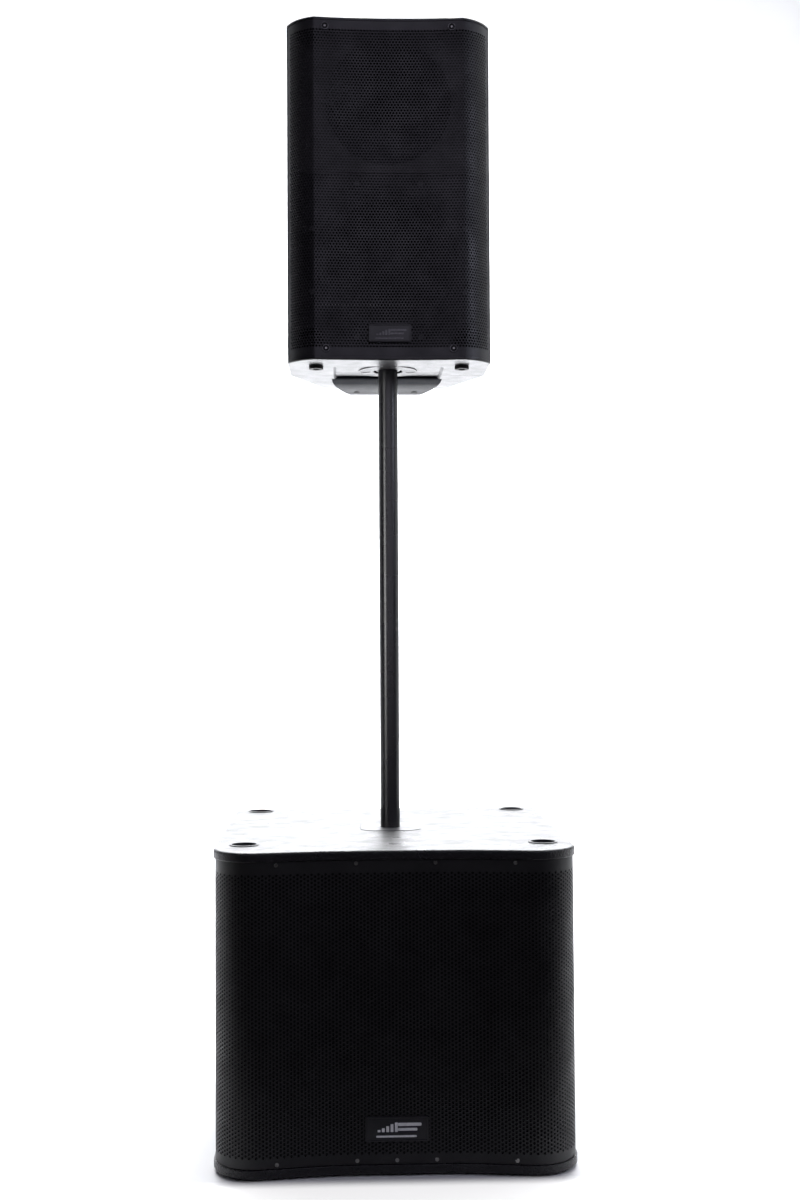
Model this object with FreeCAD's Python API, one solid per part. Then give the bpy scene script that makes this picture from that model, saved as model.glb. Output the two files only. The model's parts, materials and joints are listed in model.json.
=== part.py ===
# Portable sound-reinforcement stack: an 18-inch powered subwoofer, a threaded 35 mm pole
# and a 12-inch two-way powered loudspeaker on top of it.
# Frame: +Z up, origin on the floor in the middle of the stack, front faces -Y, +X to the right
# seen from the front. Millimetres. The pole stands on the Z axis.
import FreeCAD, Part
import math
import os
from FreeCAD import Vector

os.makedirs("parts", exist_ok=True)

# ---------------- driving dimensions ----------------
SIDES = (-1, 1)              # left and right, as signs of X
Y_AXIS = Vector(0, 1, 0)
Z_AXIS = Vector(0, 0, 1)
GRILLE_THICKNESS = 2.0       # both grilles

# subwoofer
SUB_HALF_WIDTH = 297.0       # of the top and bottom panels
SUB_HEIGHT = 520.5           # floor to top face
FOOT_HEIGHT = 4.0
PLYWOOD = 15.0
SUB_FRONT_Y = -297.0         # front edge of the panels in the middle
SUB_MIDDLE_HALF = 110.0      # half width of the straight middle stretch
SUB_CORNER_Y = -324.7        # where the front ramps would meet the side lines
SUB_CORNER_RADIUS = 70.0
SUB_REAR_Y = 302.0           # rear edge of the panels
SUB_FIN_TIP_Y = 313.8        # tips of the cooling fins
SUB_BODY_HALF = SUB_HALF_WIDTH - 2.5     # outer faces of the side walls
SUB_BACK_Y = SUB_REAR_Y - 4.0            # outer face of the rear wall
SUB_GRILLE_INSET = 2.9       # grille face behind the panel edge
SUB_WOOFER_Z = 263.0
# x, y of the four feet and stacking cups
SUB_CORNERS = [(side * 248.5, y) for side in SIDES for y in (-216.0, 266.0)]

# pole
POLE_RADIUS = 17.5
POLE_LENGTH = 914.0
POLE_WALL = 2.0
STUD_RADIUS = 10.0
STUD_LENGTH = 26.0

# top loudspeaker
CAB_Z0 = 1343.5              # bottom face of the cabinet
CAB_Z1 = CAB_Z0 + 599.0
CAB_HALF = 178.0
CREASE_X, CREASE_Y = 130.0, -140.0       # crease between the front arc and a flank arc
FLANK_MID_X, FLANK_MID_Y = 158.0, -125.0   # point on the flank arc
FLANK_END_Y = -98.0          # where the flank arc meets the straight side
CAB_FRONT_Y = -133.0         # front arc in the middle
CAB_SPLIT_Y = 18.0           # joint between front and rear shells
CAB_REAR_Y = 160.0
CAB_WALL = 5.0
CAB_LIP = 5.0                # top and bottom lips round the grille
POCKET_DEPTH = 5.0           # shallow pocket round the pole socket
TILT_Z = CAB_Z0 + 16.0       # height of the tilt trunnions
TRUNNION_RADIUS = 5.0
LINER_INNER = POLE_RADIUS + 0.05
LINER_OUTER = 20.45
TOP_WOOFER_Z = CAB_Z0 + 184.0
HORN_Z = CAB_Z0 + 466.0
MODULE_FRONT_Y, MODULE_REAR_Y = 56.0, 206.0        # amplifier module with its cowl
MODULE_FRONT_HALF, MODULE_REAR_HALF = 102.0, 68.0

# openings shared by both amplifier panels: width, height
SWITCH_SLOT = (14.0, 7.0)
ROCKER_HOLE = (22.8, 23.6)
INLET_HOLE = (30.0, 22.0)
JACK_HOLE_RADIUS = 12.2
ROCKER_TILT = 6.0            # degrees a rocker rests to one side of its middle


# ---------------- helpers ----------------
def save(name, shape):
    """Write one piece; a lone solid first has its split faces merged."""
    if len(shape.Solids) == 1:
        shape = shape.removeSplitter().Solids[0]
    else:
        shape = Part.makeCompound(shape.Solids)
    shape.exportStep("parts/%s.step" % name)


def join(shapes):
    return shapes[0].multiFuse(shapes[1:])


def group(shapes):
    return Part.makeCompound([solid for shape in shapes for solid in shape.Solids])


def largest(shape):
    return max(shape.Solids, key=lambda solid: solid.Volume)


def box(x0, x1, y0, y1, z0, z1):
    return Part.makeBox(x1 - x0, y1 - y0, z1 - z0, Vector(x0, y0, z0))


def side_box(side, x_inner, x_outer, y0, y1, z0, z1):
    """Box on the left or right, placed by distances from the middle."""
    return box(*sorted((side * x_inner, side * x_outer)), y0, y1, z0, z1)


def block_y(x, z, width, height, y0, y1):
    """Box centred on (x, z)."""
    return box(x - width / 2, x + width / 2, y0, y1, z - height / 2, z + height / 2)


def cylinder(radius, height, base, axis=Z_AXIS):
    return Part.makeCylinder(radius, height, Vector(*base), axis)


def cylinder_y(radius, y0, y1, x, z):
    return cylinder(radius, y1 - y0, (x, y0, z), Y_AXIS)


def ring(outer, inner, height, base, axis=Z_AXIS):
    base = Vector(*base)
    bore = Part.makeCylinder(inner, height + 2, base - axis, axis)
    return Part.makeCylinder(outer, height, base, axis).cut(bore)


def polar(x, z, radius, degrees):
    """Point (x, z) at an angle round a centre."""
    angle = math.radians(degrees)
    return x + radius * math.cos(angle), z + radius * math.sin(angle)


def wire(segments):
    """Wire of 2-D segments: two points make a line, three make an arc."""
    edges = []
    for segment in segments:
        points = [Vector(point[0], point[1], 0) for point in segment]
        if (points[0] - points[-1]).Length < 1e-6:
            continue
        if len(points) == 2:
            edges.append(Part.LineSegment(*points).toShape())
        else:
            edges.append(Part.Arc(*points).toShape())
    return Part.Wire(edges)


def corner_arc(before, corner, after, radius):
    """Start, middle and end of the arc that rounds a corner."""
    before, corner, after = [Vector(p[0], p[1], 0) for p in (before, corner, after)]
    back = (before - corner).normalize()
    ahead = (after - corner).normalize()
    half_angle = back.getAngle(ahead) / 2
    reach = radius / math.tan(half_angle)
    bisector = (back + ahead).normalize()
    middle = corner + bisector * (radius / math.sin(half_angle) - radius)
    return [(p.x, p.y) for p in (corner + back * reach, middle, corner + ahead * reach)]


def rounded_face(points):
    """Face of a closed polygon of (x, y, corner radius) points."""
    count = len(points)
    corners = []
    for i, point in enumerate(points):
        if point[2] > 0:
            corners.append(corner_arc(points[i - 1], point, points[(i + 1) % count], point[2]))
        else:
            corners.append([point[:2]])
    segments = []
    for i, corner in enumerate(corners):
        if len(corner) == 3:
            segments.append(corner)
        segments.append((corner[-1], corners[(i + 1) % count][0]))
    return Part.Face(wire(segments))


def inset(points, distance):
    """Counter-clockwise polygon moved inwards, corner radii kept concentric."""
    lines = []
    for i, start in enumerate(points):
        end = points[(i + 1) % len(points)]
        dx, dy = end[0] - start[0], end[1] - start[1]
        length = math.hypot(dx, dy)
        dx, dy = dx / length, dy / length
        lines.append((start[0] - dy * distance, start[1] + dx * distance, dx, dy))
    moved = []
    for i, (x, y, dx, dy) in enumerate(lines):
        x_before, y_before, dx_before, dy_before = lines[i - 1]
        turn = dx_before * dy - dy_before * dx
        along = ((x - x_before) * dy - (y - y_before) * dx) / turn
        radius = points[i][2]
        if radius > 0:
            radius += -distance if turn > 0 else distance
        moved.append((x_before + along * dx_before, y_before + along * dy_before,
                      max(radius, 0.0)))
    return moved


def rounded_rect(x, y, width, height, radius):
    return [(x - width / 2, y - height / 2, radius), (x + width / 2, y - height / 2, radius),
            (x + width / 2, y + height / 2, radius), (x - width / 2, y + height / 2, radius)]


def polygon_face(points):
    return Part.Face(Part.makePolygon([Vector(p[0], p[1], 0) for p in points + points[:1]]))


def prism(face, z0, z1):
    face = face.copy()
    face.translate(Vector(0, 0, z0))
    return face.extrude(Vector(0, 0, z1 - z0))


def extrude_y(face, y0, y1):
    """Face drawn in (x, z) made into a prism from y0 to y1."""
    solid = face.extrude(Vector(0, 0, y1 - y0))
    solid.rotate(Vector(0, 0, 0), Vector(1, 0, 0), 90)
    solid.translate(Vector(0, y1, 0))
    return solid


def extrude_x(face, x0, x1):
    """Face drawn in (y, z) made into a prism from x0 to x1."""
    solid = face.extrude(Vector(0, 0, x1 - x0))
    solid.rotate(Vector(0, 0, 0), Vector(1, 1, 1), 120)
    solid.translate(Vector(x0, 0, 0))
    return solid


def plate_x(y, z, width, height, radius, x0, x1):
    """Rounded rectangle centred on (y, z), from x0 to x1."""
    return extrude_x(rounded_face(rounded_rect(y, z, width, height, radius)), x0, x1)


def plate_y(x, z, width, height, radius, y0, y1):
    """Rounded rectangle centred on (x, z), from y0 to y1."""
    return extrude_y(rounded_face(rounded_rect(x, z, width, height, radius)), y0, y1)


def plate_z(x, y, width, depth, radius, z0, z1):
    """Rounded rectangle centred on (x, y), from z0 to z1."""
    return prism(rounded_face(rounded_rect(x, y, width, depth, radius)), z0, z1)


def revolve(points, z):
    """Closed (radius, y) profile turned about the line through (0, *, z) along Y."""
    solid = polygon_face(points).revolve(Vector(0, 0, 0), Y_AXIS, 360)
    solid.translate(Vector(0, 0, z))
    if solid.Volume < 0:
        solid.reverse()
    return solid


def edges_at(shape, z):
    """Edges lying flat at height z."""
    return [edge for edge in shape.Edges
            if abs(edge.BoundBox.ZMin - z) < 0.01 and abs(edge.BoundBox.ZMax - z) < 0.01]


def fillet(shape, edges, radius):
    # The kernel may refuse a fillet or return an invalid solid; the sharp shape is kept then.
    try:
        rounded = shape.makeFillet(radius, edges)
        if rounded.isValid():
            return rounded
    except Exception:
        pass
    return shape


def front_y(face, x):
    """Y of the front edge of a plan face at x."""
    line = Part.LineSegment(Vector(x, -400, 0), Vector(x, 0, 0)).toShape()
    return line.common(face).BoundBox.YMin


# ---------------- pieces shared by both boxes ----------------
def badge(y, thickness, floor, plate, recess, marks):
    """Badge with raised bars in a recess. Thickness and recess floor are measured forwards
    from y; plate, recess and marks are (z, width, height, radius)."""
    body = plate_y(0, *plate, y - thickness, y - 0.1)
    body = body.cut(plate_y(0, *recess, y - 4, y - floor))
    return join([body] + [plate_y(0, *mark, y - floor, y - 2.0) for mark in marks])


def panel_screw(x, z, seat_y, head, shank):
    """Screw with its head behind seat_y and its shank reaching forwards."""
    screw = cylinder_y(4.4, seat_y + 0.02, seat_y + head, x, z)
    screw = screw.fuse(cylinder_y(2.2, seat_y - shank, seat_y + 0.1, x, z))
    return screw.cut(cylinder_y(1.8, seat_y + head - 1.4, seat_y + head + 2, x, z))


def cut_openings(panel, y0, y1, holes, windows):
    """Cut holes (x, z, radius) and windows (x, z, width, height)."""
    for x, z, radius in holes:
        panel = panel.cut(cylinder_y(radius, y0, y1, x, z))
    for window in windows:
        panel = panel.cut(block_y(*window, y0, y1))
    return panel


def circuit_board(face_y, half_width, z0, z1, can_places, can_radius, can_height, blocks):
    """Board with its parts on the rear face. can_places: (x, z).
    blocks: (x0, x1, z0, z1, height)."""
    parts = [box(-half_width, half_width, face_y - 2, face_y, z0, z1)]
    for x, z in can_places:
        parts.append(cylinder_y(can_radius, face_y - 0.5, face_y + can_height, x, z))
    for x0, x1, block_z0, block_z1, height in blocks:
        parts.append(box(x0, x1, face_y - 1, face_y + height, block_z0, block_z1))
    return join(parts)


# Controls and sockets: (x, z) is the middle, y the panel face, which looks towards +Y.
def socket_body(x, z, y, depth):
    flange = plate_y(x, z, 26, 31, 2.5, y + 0.03, y + 2.2)
    return flange.fuse(cylinder_y(12.0, y - depth, y + 1.0, x, z))


def combo_jack(x, z, y):
    """Combination jack: a middle bore with three small holes round it."""
    jack = socket_body(x, z, y, 22)
    jack = jack.cut(ring(11.0, 9.6, 3, (x, y + 1.2, z), Y_AXIS))
    jack = jack.cut(cylinder_y(3.3, y - 18, y + 3, x, z))
    for angle in (90, 210, 330):
        jack = jack.cut(cylinder_y(1.3, y - 10, y + 3, *polar(x, z, 6.4, angle)))
    for side in SIDES:
        jack = jack.cut(cylinder_y(1.6, y + 1.2, y + 3, x + side * 9.8, z - side * 12.3))
    return jack


def male_xlr(x, z, y):
    body = socket_body(x, z, y, 20).cut(cylinder_y(9.4, y - 12, y + 3, x, z))
    return join([body] + [cylinder_y(1.2, y - 13, y - 1, *polar(x, z, 4.5, angle))
                          for angle in (30, 150, 270)])


def mains_inlet(x, z, y):
    """Three-pin inlet whose cavity has its two upper corners cut off."""
    width, height = INLET_HOLE
    body = block_y(x, z, width + 8, height + 8, y + 0.03, y + 2.4)
    body = body.fuse(block_y(x, z, width - 0.2, height - 0.2, y - 24, y + 1))
    half, top = width / 2 - 2.5, height / 2 - 2.5
    bevel = 3.5
    cavity = [(x - half, z - top, 1), (x + half, z - top, 1), (x + half, z + top - bevel, 1),
              (x + half - bevel, z + top, 1), (x - half + bevel, z + top, 1),
              (x - half, z + top - bevel, 1)]
    body = body.cut(extrude_y(rounded_face(cavity), y - 18, y + 3))
    return join([body] + [block_y(x + dx, z + dz, 2, 5, y - 19, y - 3)
                          for dx, dz in ((-7, -2), (0, 2.5), (7, -2))])


def knob(x, z, y, radius, height, hole_radius):
    """Knob with a skirt, a shaft in the panel hole, twelve grooves and a pointer slot."""
    body = cylinder_y(radius, y + 0.5, y + height, x, z)
    body = body.fuse(cylinder_y(radius + 1.6, y + 0.5, y + 2.5, x, z))
    body = body.fuse(cylinder_y(hole_radius - 0.06, y - 8, y + 1, x, z))
    for i in range(12):
        groove = polar(x, z, radius + 0.35, 30 * i + 15)
        body = body.cut(cylinder_y(0.9, y + 3.0, y + height + 1, *groove))
    return body.cut(box(x - 0.6, x + 0.6, y + height - 0.8, y + height + 1,
                        z + 1.5, z + radius + 1))


def slide_switch(x, z, y):
    button = block_y(x, z, 6, 6, y - 3.9, y + 3.2)
    body = block_y(x, z, 8, 8.4, y - 9.0, y - 4.5)
    neck = block_y(x, z, 6, 6, y - 5, y - 3)
    return button.fuse(body).fuse(neck)


def power_rocker(x, z, y):
    """Mains rocker, tipped about an X axis through its pivot."""
    width, height = ROCKER_HOLE
    pivot_y = y - 3.0
    low, high = z - height / 2, z + height / 2
    profile = [(y - 9.0, low + 3), (y + 3.4, low + 0.9), (y + 0.9, z),
               (y + 3.4, high - 0.9), (y - 9.0, high - 3)]
    body = extrude_x(polygon_face(profile), x - width / 2 + 0.8, x + width / 2 - 0.8)
    body = body.fuse(cylinder(1.6, width - 0.3, (x - width / 2 + 0.15, pivot_y, z),
                              Vector(1, 0, 0)))
    body.rotate(Vector(x, pivot_y, z), Vector(1, 0, 0), -ROCKER_TILT)
    return body


class ConeDriver:
    """Cone driver facing -Y on the line through (0, *, z). face_y is the front of the flange."""

    flange = 6.0             # flange thickness
    plate = 8.0              # thickness of the motor plates

    def __init__(self, z, face_y, outer_radius, inner_radius, cone_radius, coil_radius,
                 depth, magnet_radius, magnet_height, bolt_radius):
        self.z = z
        self.face_y = face_y
        self.outer, self.inner = outer_radius, inner_radius      # flange radii
        self.cone_radius = cone_radius
        self.coil = coil_radius
        self.magnet_radius, self.magnet_height = magnet_radius, magnet_height
        self.bolt_radius = bolt_radius
        self.hub_y = face_y + depth
        self.hub_radius = coil_radius + 26
        self.neck_y = face_y + depth * 0.60      # where the cone meets the coil
        self.motor_y = self.hub_y + 0.05
        pitch_radius = (outer_radius + inner_radius) / 2 + 4
        self.bolt_places = [polar(0, z, pitch_radius, 45 * (k + 0.5)) for k in range(8)]

    def basket(self):
        """Frame with six windows and the bolt holes."""
        back_y, hub_y, hub = self.face_y + self.flange, self.hub_y, self.hub_radius
        frame = revolve([
            (self.inner, self.face_y), (self.outer, self.face_y), (self.outer, back_y),
            (self.inner + 6, back_y), (hub + 10, hub_y - 12), (hub + 10, hub_y),
            (self.coil + 8, hub_y), (self.coil + 8, hub_y - 4), (hub + 4, hub_y - 4),
            (hub + 4, hub_y - 13), (self.inner, back_y)], self.z)
        for k in range(6):
            window = box(-self.inner * 0.30, self.inner * 0.30, back_y + 14, hub_y - 18,
                         hub + 14, self.outer + 20)
            window.rotate(Vector(0, 0, 0), Y_AXIS, 60 * k)
            window.translate(Vector(0, 0, self.z))
            frame = frame.cut(window)
        for x, z in self.bolt_places:
            frame = frame.cut(cylinder_y(self.bolt_radius + 0.3, self.face_y - 1,
                                         back_y + 1, x, z))
        return frame

    def bolts(self):
        bolts = []
        radius, y = self.bolt_radius, self.face_y
        for x, z in self.bolt_places:
            bolt = cylinder_y(radius * 1.8, y - 3.5, y - 0.02, x, z)
            bolt = bolt.fuse(cylinder_y(radius, y - 0.1, y + self.flange - 0.1, x, z))
            bolts.append(bolt.cut(cylinder_y(radius * 0.9, y - 5, y - 1.5, x, z)))
        return bolts

    def motor(self):
        """Front plate, magnet ring and pole yoke."""
        y, coil, plate_radius = self.motor_y, self.coil, self.magnet_radius - 8
        plate_y1 = y + self.plate
        magnet_y1 = plate_y1 + self.magnet_height
        yoke_y = magnet_y1 + 0.05
        plate = [(coil + 1.6, y), (plate_radius, y), (plate_radius, plate_y1),
                 (coil + 1.6, plate_y1)]
        magnet = [(coil + 12, plate_y1 + 0.05), (self.magnet_radius, plate_y1 + 0.05),
                  (self.magnet_radius, magnet_y1), (coil + 12, magnet_y1)]
        yoke = [(6, y), (coil - 1.8, y), (coil - 1.8, yoke_y), (plate_radius, yoke_y),
                (plate_radius, yoke_y + self.plate), (6, yoke_y + self.plate)]
        return group([revolve(profile, self.z) for profile in (plate, magnet, yoke)])

    def surround(self):
        """Half roll between the cone edge and the frame."""
        middle = (self.cone_radius + self.inner) / 2
        roll = (self.inner - self.cone_radius) / 2 - 3
        back = self.face_y - 0.05
        front = back - 1.5

        def arc(radius, y):
            return [(middle - radius * math.cos(math.pi * k / 10),
                     y - radius * math.sin(math.pi * k / 10)) for k in range(11)]

        cone_lip, frame_lip = self.cone_radius - 3, self.inner + 7
        return revolve([(cone_lip, front)] + arc(roll + 0.7, front)
                       + [(frame_lip, front), (frame_lip, back)]
                       + arc(roll - 0.7, back)[::-1] + [(cone_lip, back)], self.z)

    def cone(self):
        """Cone with its domed dust cap."""
        rim, neck, y, neck_y = self.cone_radius, self.coil + 1.0, self.face_y, self.neck_y
        cone = revolve([(rim + 1, y), (rim + 1, y + 1.6), (rim - 2, y + 2.2),
                        (neck, neck_y + 2.2), (neck, neck_y), (rim - 4, y)], self.z)
        cap_radius = self.coil + 12
        slope = (neck_y - y) / (rim - self.coil)
        cap_y = y + (rim - cap_radius) * slope - 0.2
        front = [(cap_radius * (1 - k / 8), cap_y - cap_radius * 0.42 * math.sin(k * math.pi / 16))
                 for k in range(9)]
        back = [(max(radius - 1.2, 0), y + 1.4) for radius, y in front]
        return cone.fuse(revolve(front + back[::-1], self.z))

    def voice_coil(self):
        """Former with the winding round its rear end."""
        bore, former, winding = self.coil - 0.7, self.coil + 0.3, self.coil + 1.0
        start, end = self.motor_y - 6, self.motor_y + 14
        return revolve([(bore, self.neck_y), (former, self.neck_y), (former, start),
                        (winding, start), (winding, end), (bore, end)], self.z)

    def spider(self):
        """Corrugated disc behind the cone."""
        inner, outer = self.coil + 0.35, self.hub_radius + 3.9
        steps, waves = 24, 4
        line = [(inner + (outer - inner) * k / steps,
                 self.hub_y - 20 + 2.4 * math.sin(2 * math.pi * waves * k / steps))
                for k in range(steps + 1)]
        front = [(radius, y - 0.5) for radius, y in line]
        back = [(radius, y + 0.5) for radius, y in line]
        return revolve(front + back[::-1], self.z)

    def save_pieces(self, prefix):
        save(prefix + "_woofer_basket", self.basket())
        save(prefix + "_woofer_motor", self.motor())
        save(prefix + "_woofer_surround", self.surround())
        save(prefix + "_woofer_cone", self.cone())
        save(prefix + "_voice_coil", self.voice_coil())
        save(prefix + "_woofer_spider", self.spider())


# =====================================================================
# subwoofer cabinet
# =====================================================================
# plan of the top and bottom panels: x, y, corner radius
SUB_PLAN = [(-SUB_HALF_WIDTH, SUB_CORNER_Y, SUB_CORNER_RADIUS),
            (-SUB_MIDDLE_HALF, SUB_FRONT_Y, 600.0), (SUB_MIDDLE_HALF, SUB_FRONT_Y, 600.0),
            (SUB_HALF_WIDTH, SUB_CORNER_Y, SUB_CORNER_RADIUS),
            (SUB_HALF_WIDTH, SUB_REAR_Y, 16.0), (-SUB_HALF_WIDTH, SUB_REAR_Y, 16.0)]
BODY_Z0 = FOOT_HEIGHT + PLYWOOD          # between the two panels
BODY_Z1 = SUB_HEIGHT - PLYWOOD
BODY_INNER = SUB_BODY_HALF - PLYWOOD     # inner faces of the side walls
CUP_RADIUS, CUP_DEPTH = 22.0, 8.0
SOCKET_RADIUS = 28.8
PLATE_WIDTH, PLATE_DEPTH, PLATE_RADIUS = 108.0, 114.0, 32.0    # pole socket plate
PLATE_Y = 3.0
SIDE_Y0 = -226.0             # front edge of the side walls, rear face of the baffle
BAFFLE_Y0 = SIDE_Y0 - 16
SLOT_X = 248.0               # inner side of the port slots
SLOT_Z0, SLOT_Z1 = 44.0, 482.0
HANDLE_Y, HANDLE_Z, HANDLE_WIDTH, HANDLE_HEIGHT = 20.0, 300.0, 190.0, 96.0
SUB_AMP_Z, SUB_AMP_WIDTH, SUB_AMP_HEIGHT = 262.0, 300.0, 380.0


def sub_panel(inside_z, outside_z):
    """Plywood panel with a larger rounding on its outer face."""
    panel = prism(rounded_face(SUB_PLAN), min(inside_z, outside_z), max(inside_z, outside_z))
    panel = fillet(panel, edges_at(panel, outside_z), 4.0)
    return fillet(panel, edges_at(panel, inside_z), 1.5)


def sub_top_panel():
    panel = sub_panel(BODY_Z1, SUB_HEIGHT)
    for x, y in SUB_CORNERS:
        panel = panel.cut(cylinder(CUP_RADIUS + 0.05, 9, (x, y, SUB_HEIGHT - CUP_DEPTH)))
    panel = panel.cut(plate_z(0, PLATE_Y, PLATE_WIDTH + 0.6, PLATE_DEPTH + 0.6,
                              PLATE_RADIUS + 0.3, SUB_HEIGHT - 3.2, SUB_HEIGHT + 1))
    return panel.cut(cylinder(SOCKET_RADIUS + 0.4, 40, (0, 0, BODY_Z1 - 10)))


def handle_plate(side, growth, radius, x_inner, x_outer):
    """Handle outline grown in width and height, placed by distances from the middle."""
    return plate_x(HANDLE_Y, HANDLE_Z, HANDLE_WIDTH + growth, HANDLE_HEIGHT + growth, radius,
                   *sorted((side * x_inner, side * x_outer)))


def sub_side_panel(side):
    body = prism(rounded_face([(-SUB_BODY_HALF, -400, 0), (SUB_BODY_HALF, -400, 0),
                               (SUB_BODY_HALF, SUB_BACK_Y, 12.0),
                               (-SUB_BODY_HALF, SUB_BACK_Y, 12.0)]), BODY_Z0, BODY_Z1)
    panel = side_box(side, BODY_INNER, SUB_BODY_HALF, SIDE_Y0, SUB_BACK_Y, BODY_Z0, BODY_Z1)
    panel = panel.common(body)
    panel = panel.cut(handle_plate(side, -24, 20, BODY_INNER - 1, SUB_BODY_HALF + 1))
    return panel.cut(handle_plate(side, 0.6, 26, SUB_BODY_HALF - 2.0, SUB_BODY_HALF + 1))


def sub_rear_panel():
    inside_y = SUB_BACK_Y - PLYWOOD
    panel = box(-BODY_INNER, BODY_INNER, inside_y, SUB_BACK_Y, BODY_Z0, BODY_Z1)
    return panel.cut(plate_y(0, SUB_AMP_Z, SUB_AMP_WIDTH - 40, SUB_AMP_HEIGHT - 24, 8,
                             inside_y - 1, SUB_BACK_Y + 1))


def sub_baffle():
    y0, y1 = BAFFLE_Y0 - 1, SIDE_Y0 + 1
    baffle = box(-286, 286, BAFFLE_Y0, SIDE_Y0, BODY_Z0, BODY_Z1)
    baffle = baffle.cut(cylinder_y(216, y0, y1, 0, SUB_WOOFER_Z))
    for side in SIDES:
        baffle = baffle.cut(side_box(side, SLOT_X, BODY_INNER, y0, y1, SLOT_Z0, SLOT_Z1))
    return baffle


def sub_port_wall(side):
    """Port wall with filler blocks below and above the slot, cleared for the handle."""
    block_y1 = SIDE_Y0 + 130
    wall = join([
        side_box(side, SLOT_X - 10, SLOT_X, SIDE_Y0, SIDE_Y0 + 250, BODY_Z0, BODY_Z1),
        side_box(side, SLOT_X, BODY_INNER, SIDE_Y0, block_y1, BODY_Z0, SLOT_Z0),
        side_box(side, SLOT_X, BODY_INNER, SIDE_Y0, block_y1, SLOT_Z1, BODY_Z1)])
    return wall.cut(plate_x(HANDLE_Y, HANDLE_Z, 172, 86, 10,
                            *sorted((side * 200, side * SUB_BODY_HALF))))


def sub_skin(inset_outer, inset_inner, gap):
    """Sheet following the front of the plan, short of the panels by the gap."""
    sheet = prism(rounded_face(inset(SUB_PLAN, inset_outer)), BODY_Z0 + gap, BODY_Z1 - gap)
    sheet = sheet.cut(prism(rounded_face(inset(SUB_PLAN, inset_inner)),
                            BODY_Z0 + gap - 1, BODY_Z1 - gap + 1))
    return sheet.common(box(-400, 400, -400, SIDE_Y0 - 2, 0, 600))


def sub_grille_screws():
    upper = (-192.0, -64.0, 64.0, 192.0)
    screws = []
    for z, places in ((500.0, upper), (26.0, upper + (0.0,))):
        for x in places:
            y = front_y(SUB_GRILLE_FACE, x) - (0.5 if abs(x) > 100 else 0.02)
            screws.append(cylinder_y(3.2, y - 1.3, y, x, z).cut(
                cylinder_y(1.5, y - 2, y - 0.6, x, z)))
    return group(screws)


def stacking_cup(x, y):
    cup = cylinder(CUP_RADIUS, CUP_DEPTH, (x, y, SUB_HEIGHT - CUP_DEPTH))
    cup = cup.fuse(cylinder(24.5, 1.5, (x, y, SUB_HEIGHT + 0.02)))
    return cup.cut(cylinder(20.6, 8, (x, y, SUB_HEIGHT - 6)))


def sub_pole_socket():
    """Plate let into the top panel with a barrel below it."""
    socket = plate_z(0, PLATE_Y, PLATE_WIDTH, PLATE_DEPTH, PLATE_RADIUS,
                     SUB_HEIGHT - 3.0, SUB_HEIGHT + 1.0)
    socket = fillet(socket, edges_at(socket, SUB_HEIGHT + 1.0), 0.8)
    socket = socket.fuse(cylinder(SOCKET_RADIUS, 60, (0, 0, SUB_HEIGHT - 63)))
    socket = socket.cut(cylinder(STUD_RADIUS + 0.06, 80, (0, 0, SUB_HEIGHT - 50)))
    return socket.cut(cylinder(POLE_RADIUS + 0.4, 4.0, (0, 0, SUB_HEIGHT - 1.6)))


def sub_handle(side):
    """Flanged bowl with a round bar along Y."""
    flange = handle_plate(side, 0, 26, SUB_BODY_HALF - 1.98, SUB_BODY_HALF)
    bowl = handle_plate(side, -24.6, 19.7, SUB_BODY_HALF - 60, SUB_BODY_HALF - 1.0)
    hollow = handle_plate(side, -30, 17, SUB_BODY_HALF - 57, SUB_BODY_HALF + 1.0)
    length = HANDLE_WIDTH - 28
    bar = cylinder_y(11, HANDLE_Y - length / 2, HANDLE_Y + length / 2,
                     side * (SUB_BODY_HALF - 16), HANDLE_Z)
    return flange.fuse(bowl).cut(hollow).fuse(bar)


save("sub_top_panel", sub_top_panel())
save("sub_bottom_panel", sub_panel(BODY_Z0, FOOT_HEIGHT))
save("sub_side_panels", group([sub_side_panel(side) for side in SIDES]))
save("sub_rear_panel", sub_rear_panel())
save("sub_baffle", sub_baffle())
save("sub_port_walls", group([sub_port_wall(side) for side in SIDES]))

GRILLE_BACK = SUB_GRILLE_INSET + GRILLE_THICKNESS
SUB_GRILLE_FACE = rounded_face(inset(SUB_PLAN, SUB_GRILLE_INSET))
save("sub_grille", sub_skin(SUB_GRILLE_INSET, GRILLE_BACK, gap=0.6))
save("sub_grille_foam", sub_skin(GRILLE_BACK + 0.3, GRILLE_BACK + 3.3, gap=8))
save("sub_grille_screws", sub_grille_screws())
save("sub_badge", badge(front_y(SUB_GRILLE_FACE, 0), thickness=3.2, floor=2.6,
                        plate=(76, 102, 40, 2.5), recess=(76, 96, 34, 1.5),
                        marks=[(82, 66, 5.0, 2.4), (70.5, 44, 2.6, 1.2)]))
save("sub_feet", group([cylinder(20, FOOT_HEIGHT, (x, y, 0)).cut(cylinder(5, 2.5, (x, y, -0.5)))
                        for x, y in SUB_CORNERS]))
save("sub_stacking_cups", group([stacking_cup(x, y) for x, y in SUB_CORNERS]))
save("sub_pole_socket", sub_pole_socket())
save("sub_handles", group([sub_handle(side) for side in SIDES]))

sub_driver = ConeDriver(z=SUB_WOOFER_Z, face_y=BAFFLE_Y0 - 6.05, outer_radius=230.0,
                        inner_radius=207.0, cone_radius=182.0, coil_radius=50.0, depth=150.0,
                        magnet_radius=110.0, magnet_height=24.0, bolt_radius=3.0)
sub_driver.save_pieces("sub")

# =====================================================================
# subwoofer electronics
# =====================================================================
SUB_PANEL_Y = SUB_BACK_Y + 4             # outer face of the amplifier panel
SUB_LED_RADIUS, SUB_KNOB_HOLE = 2.0, 4.2
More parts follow.
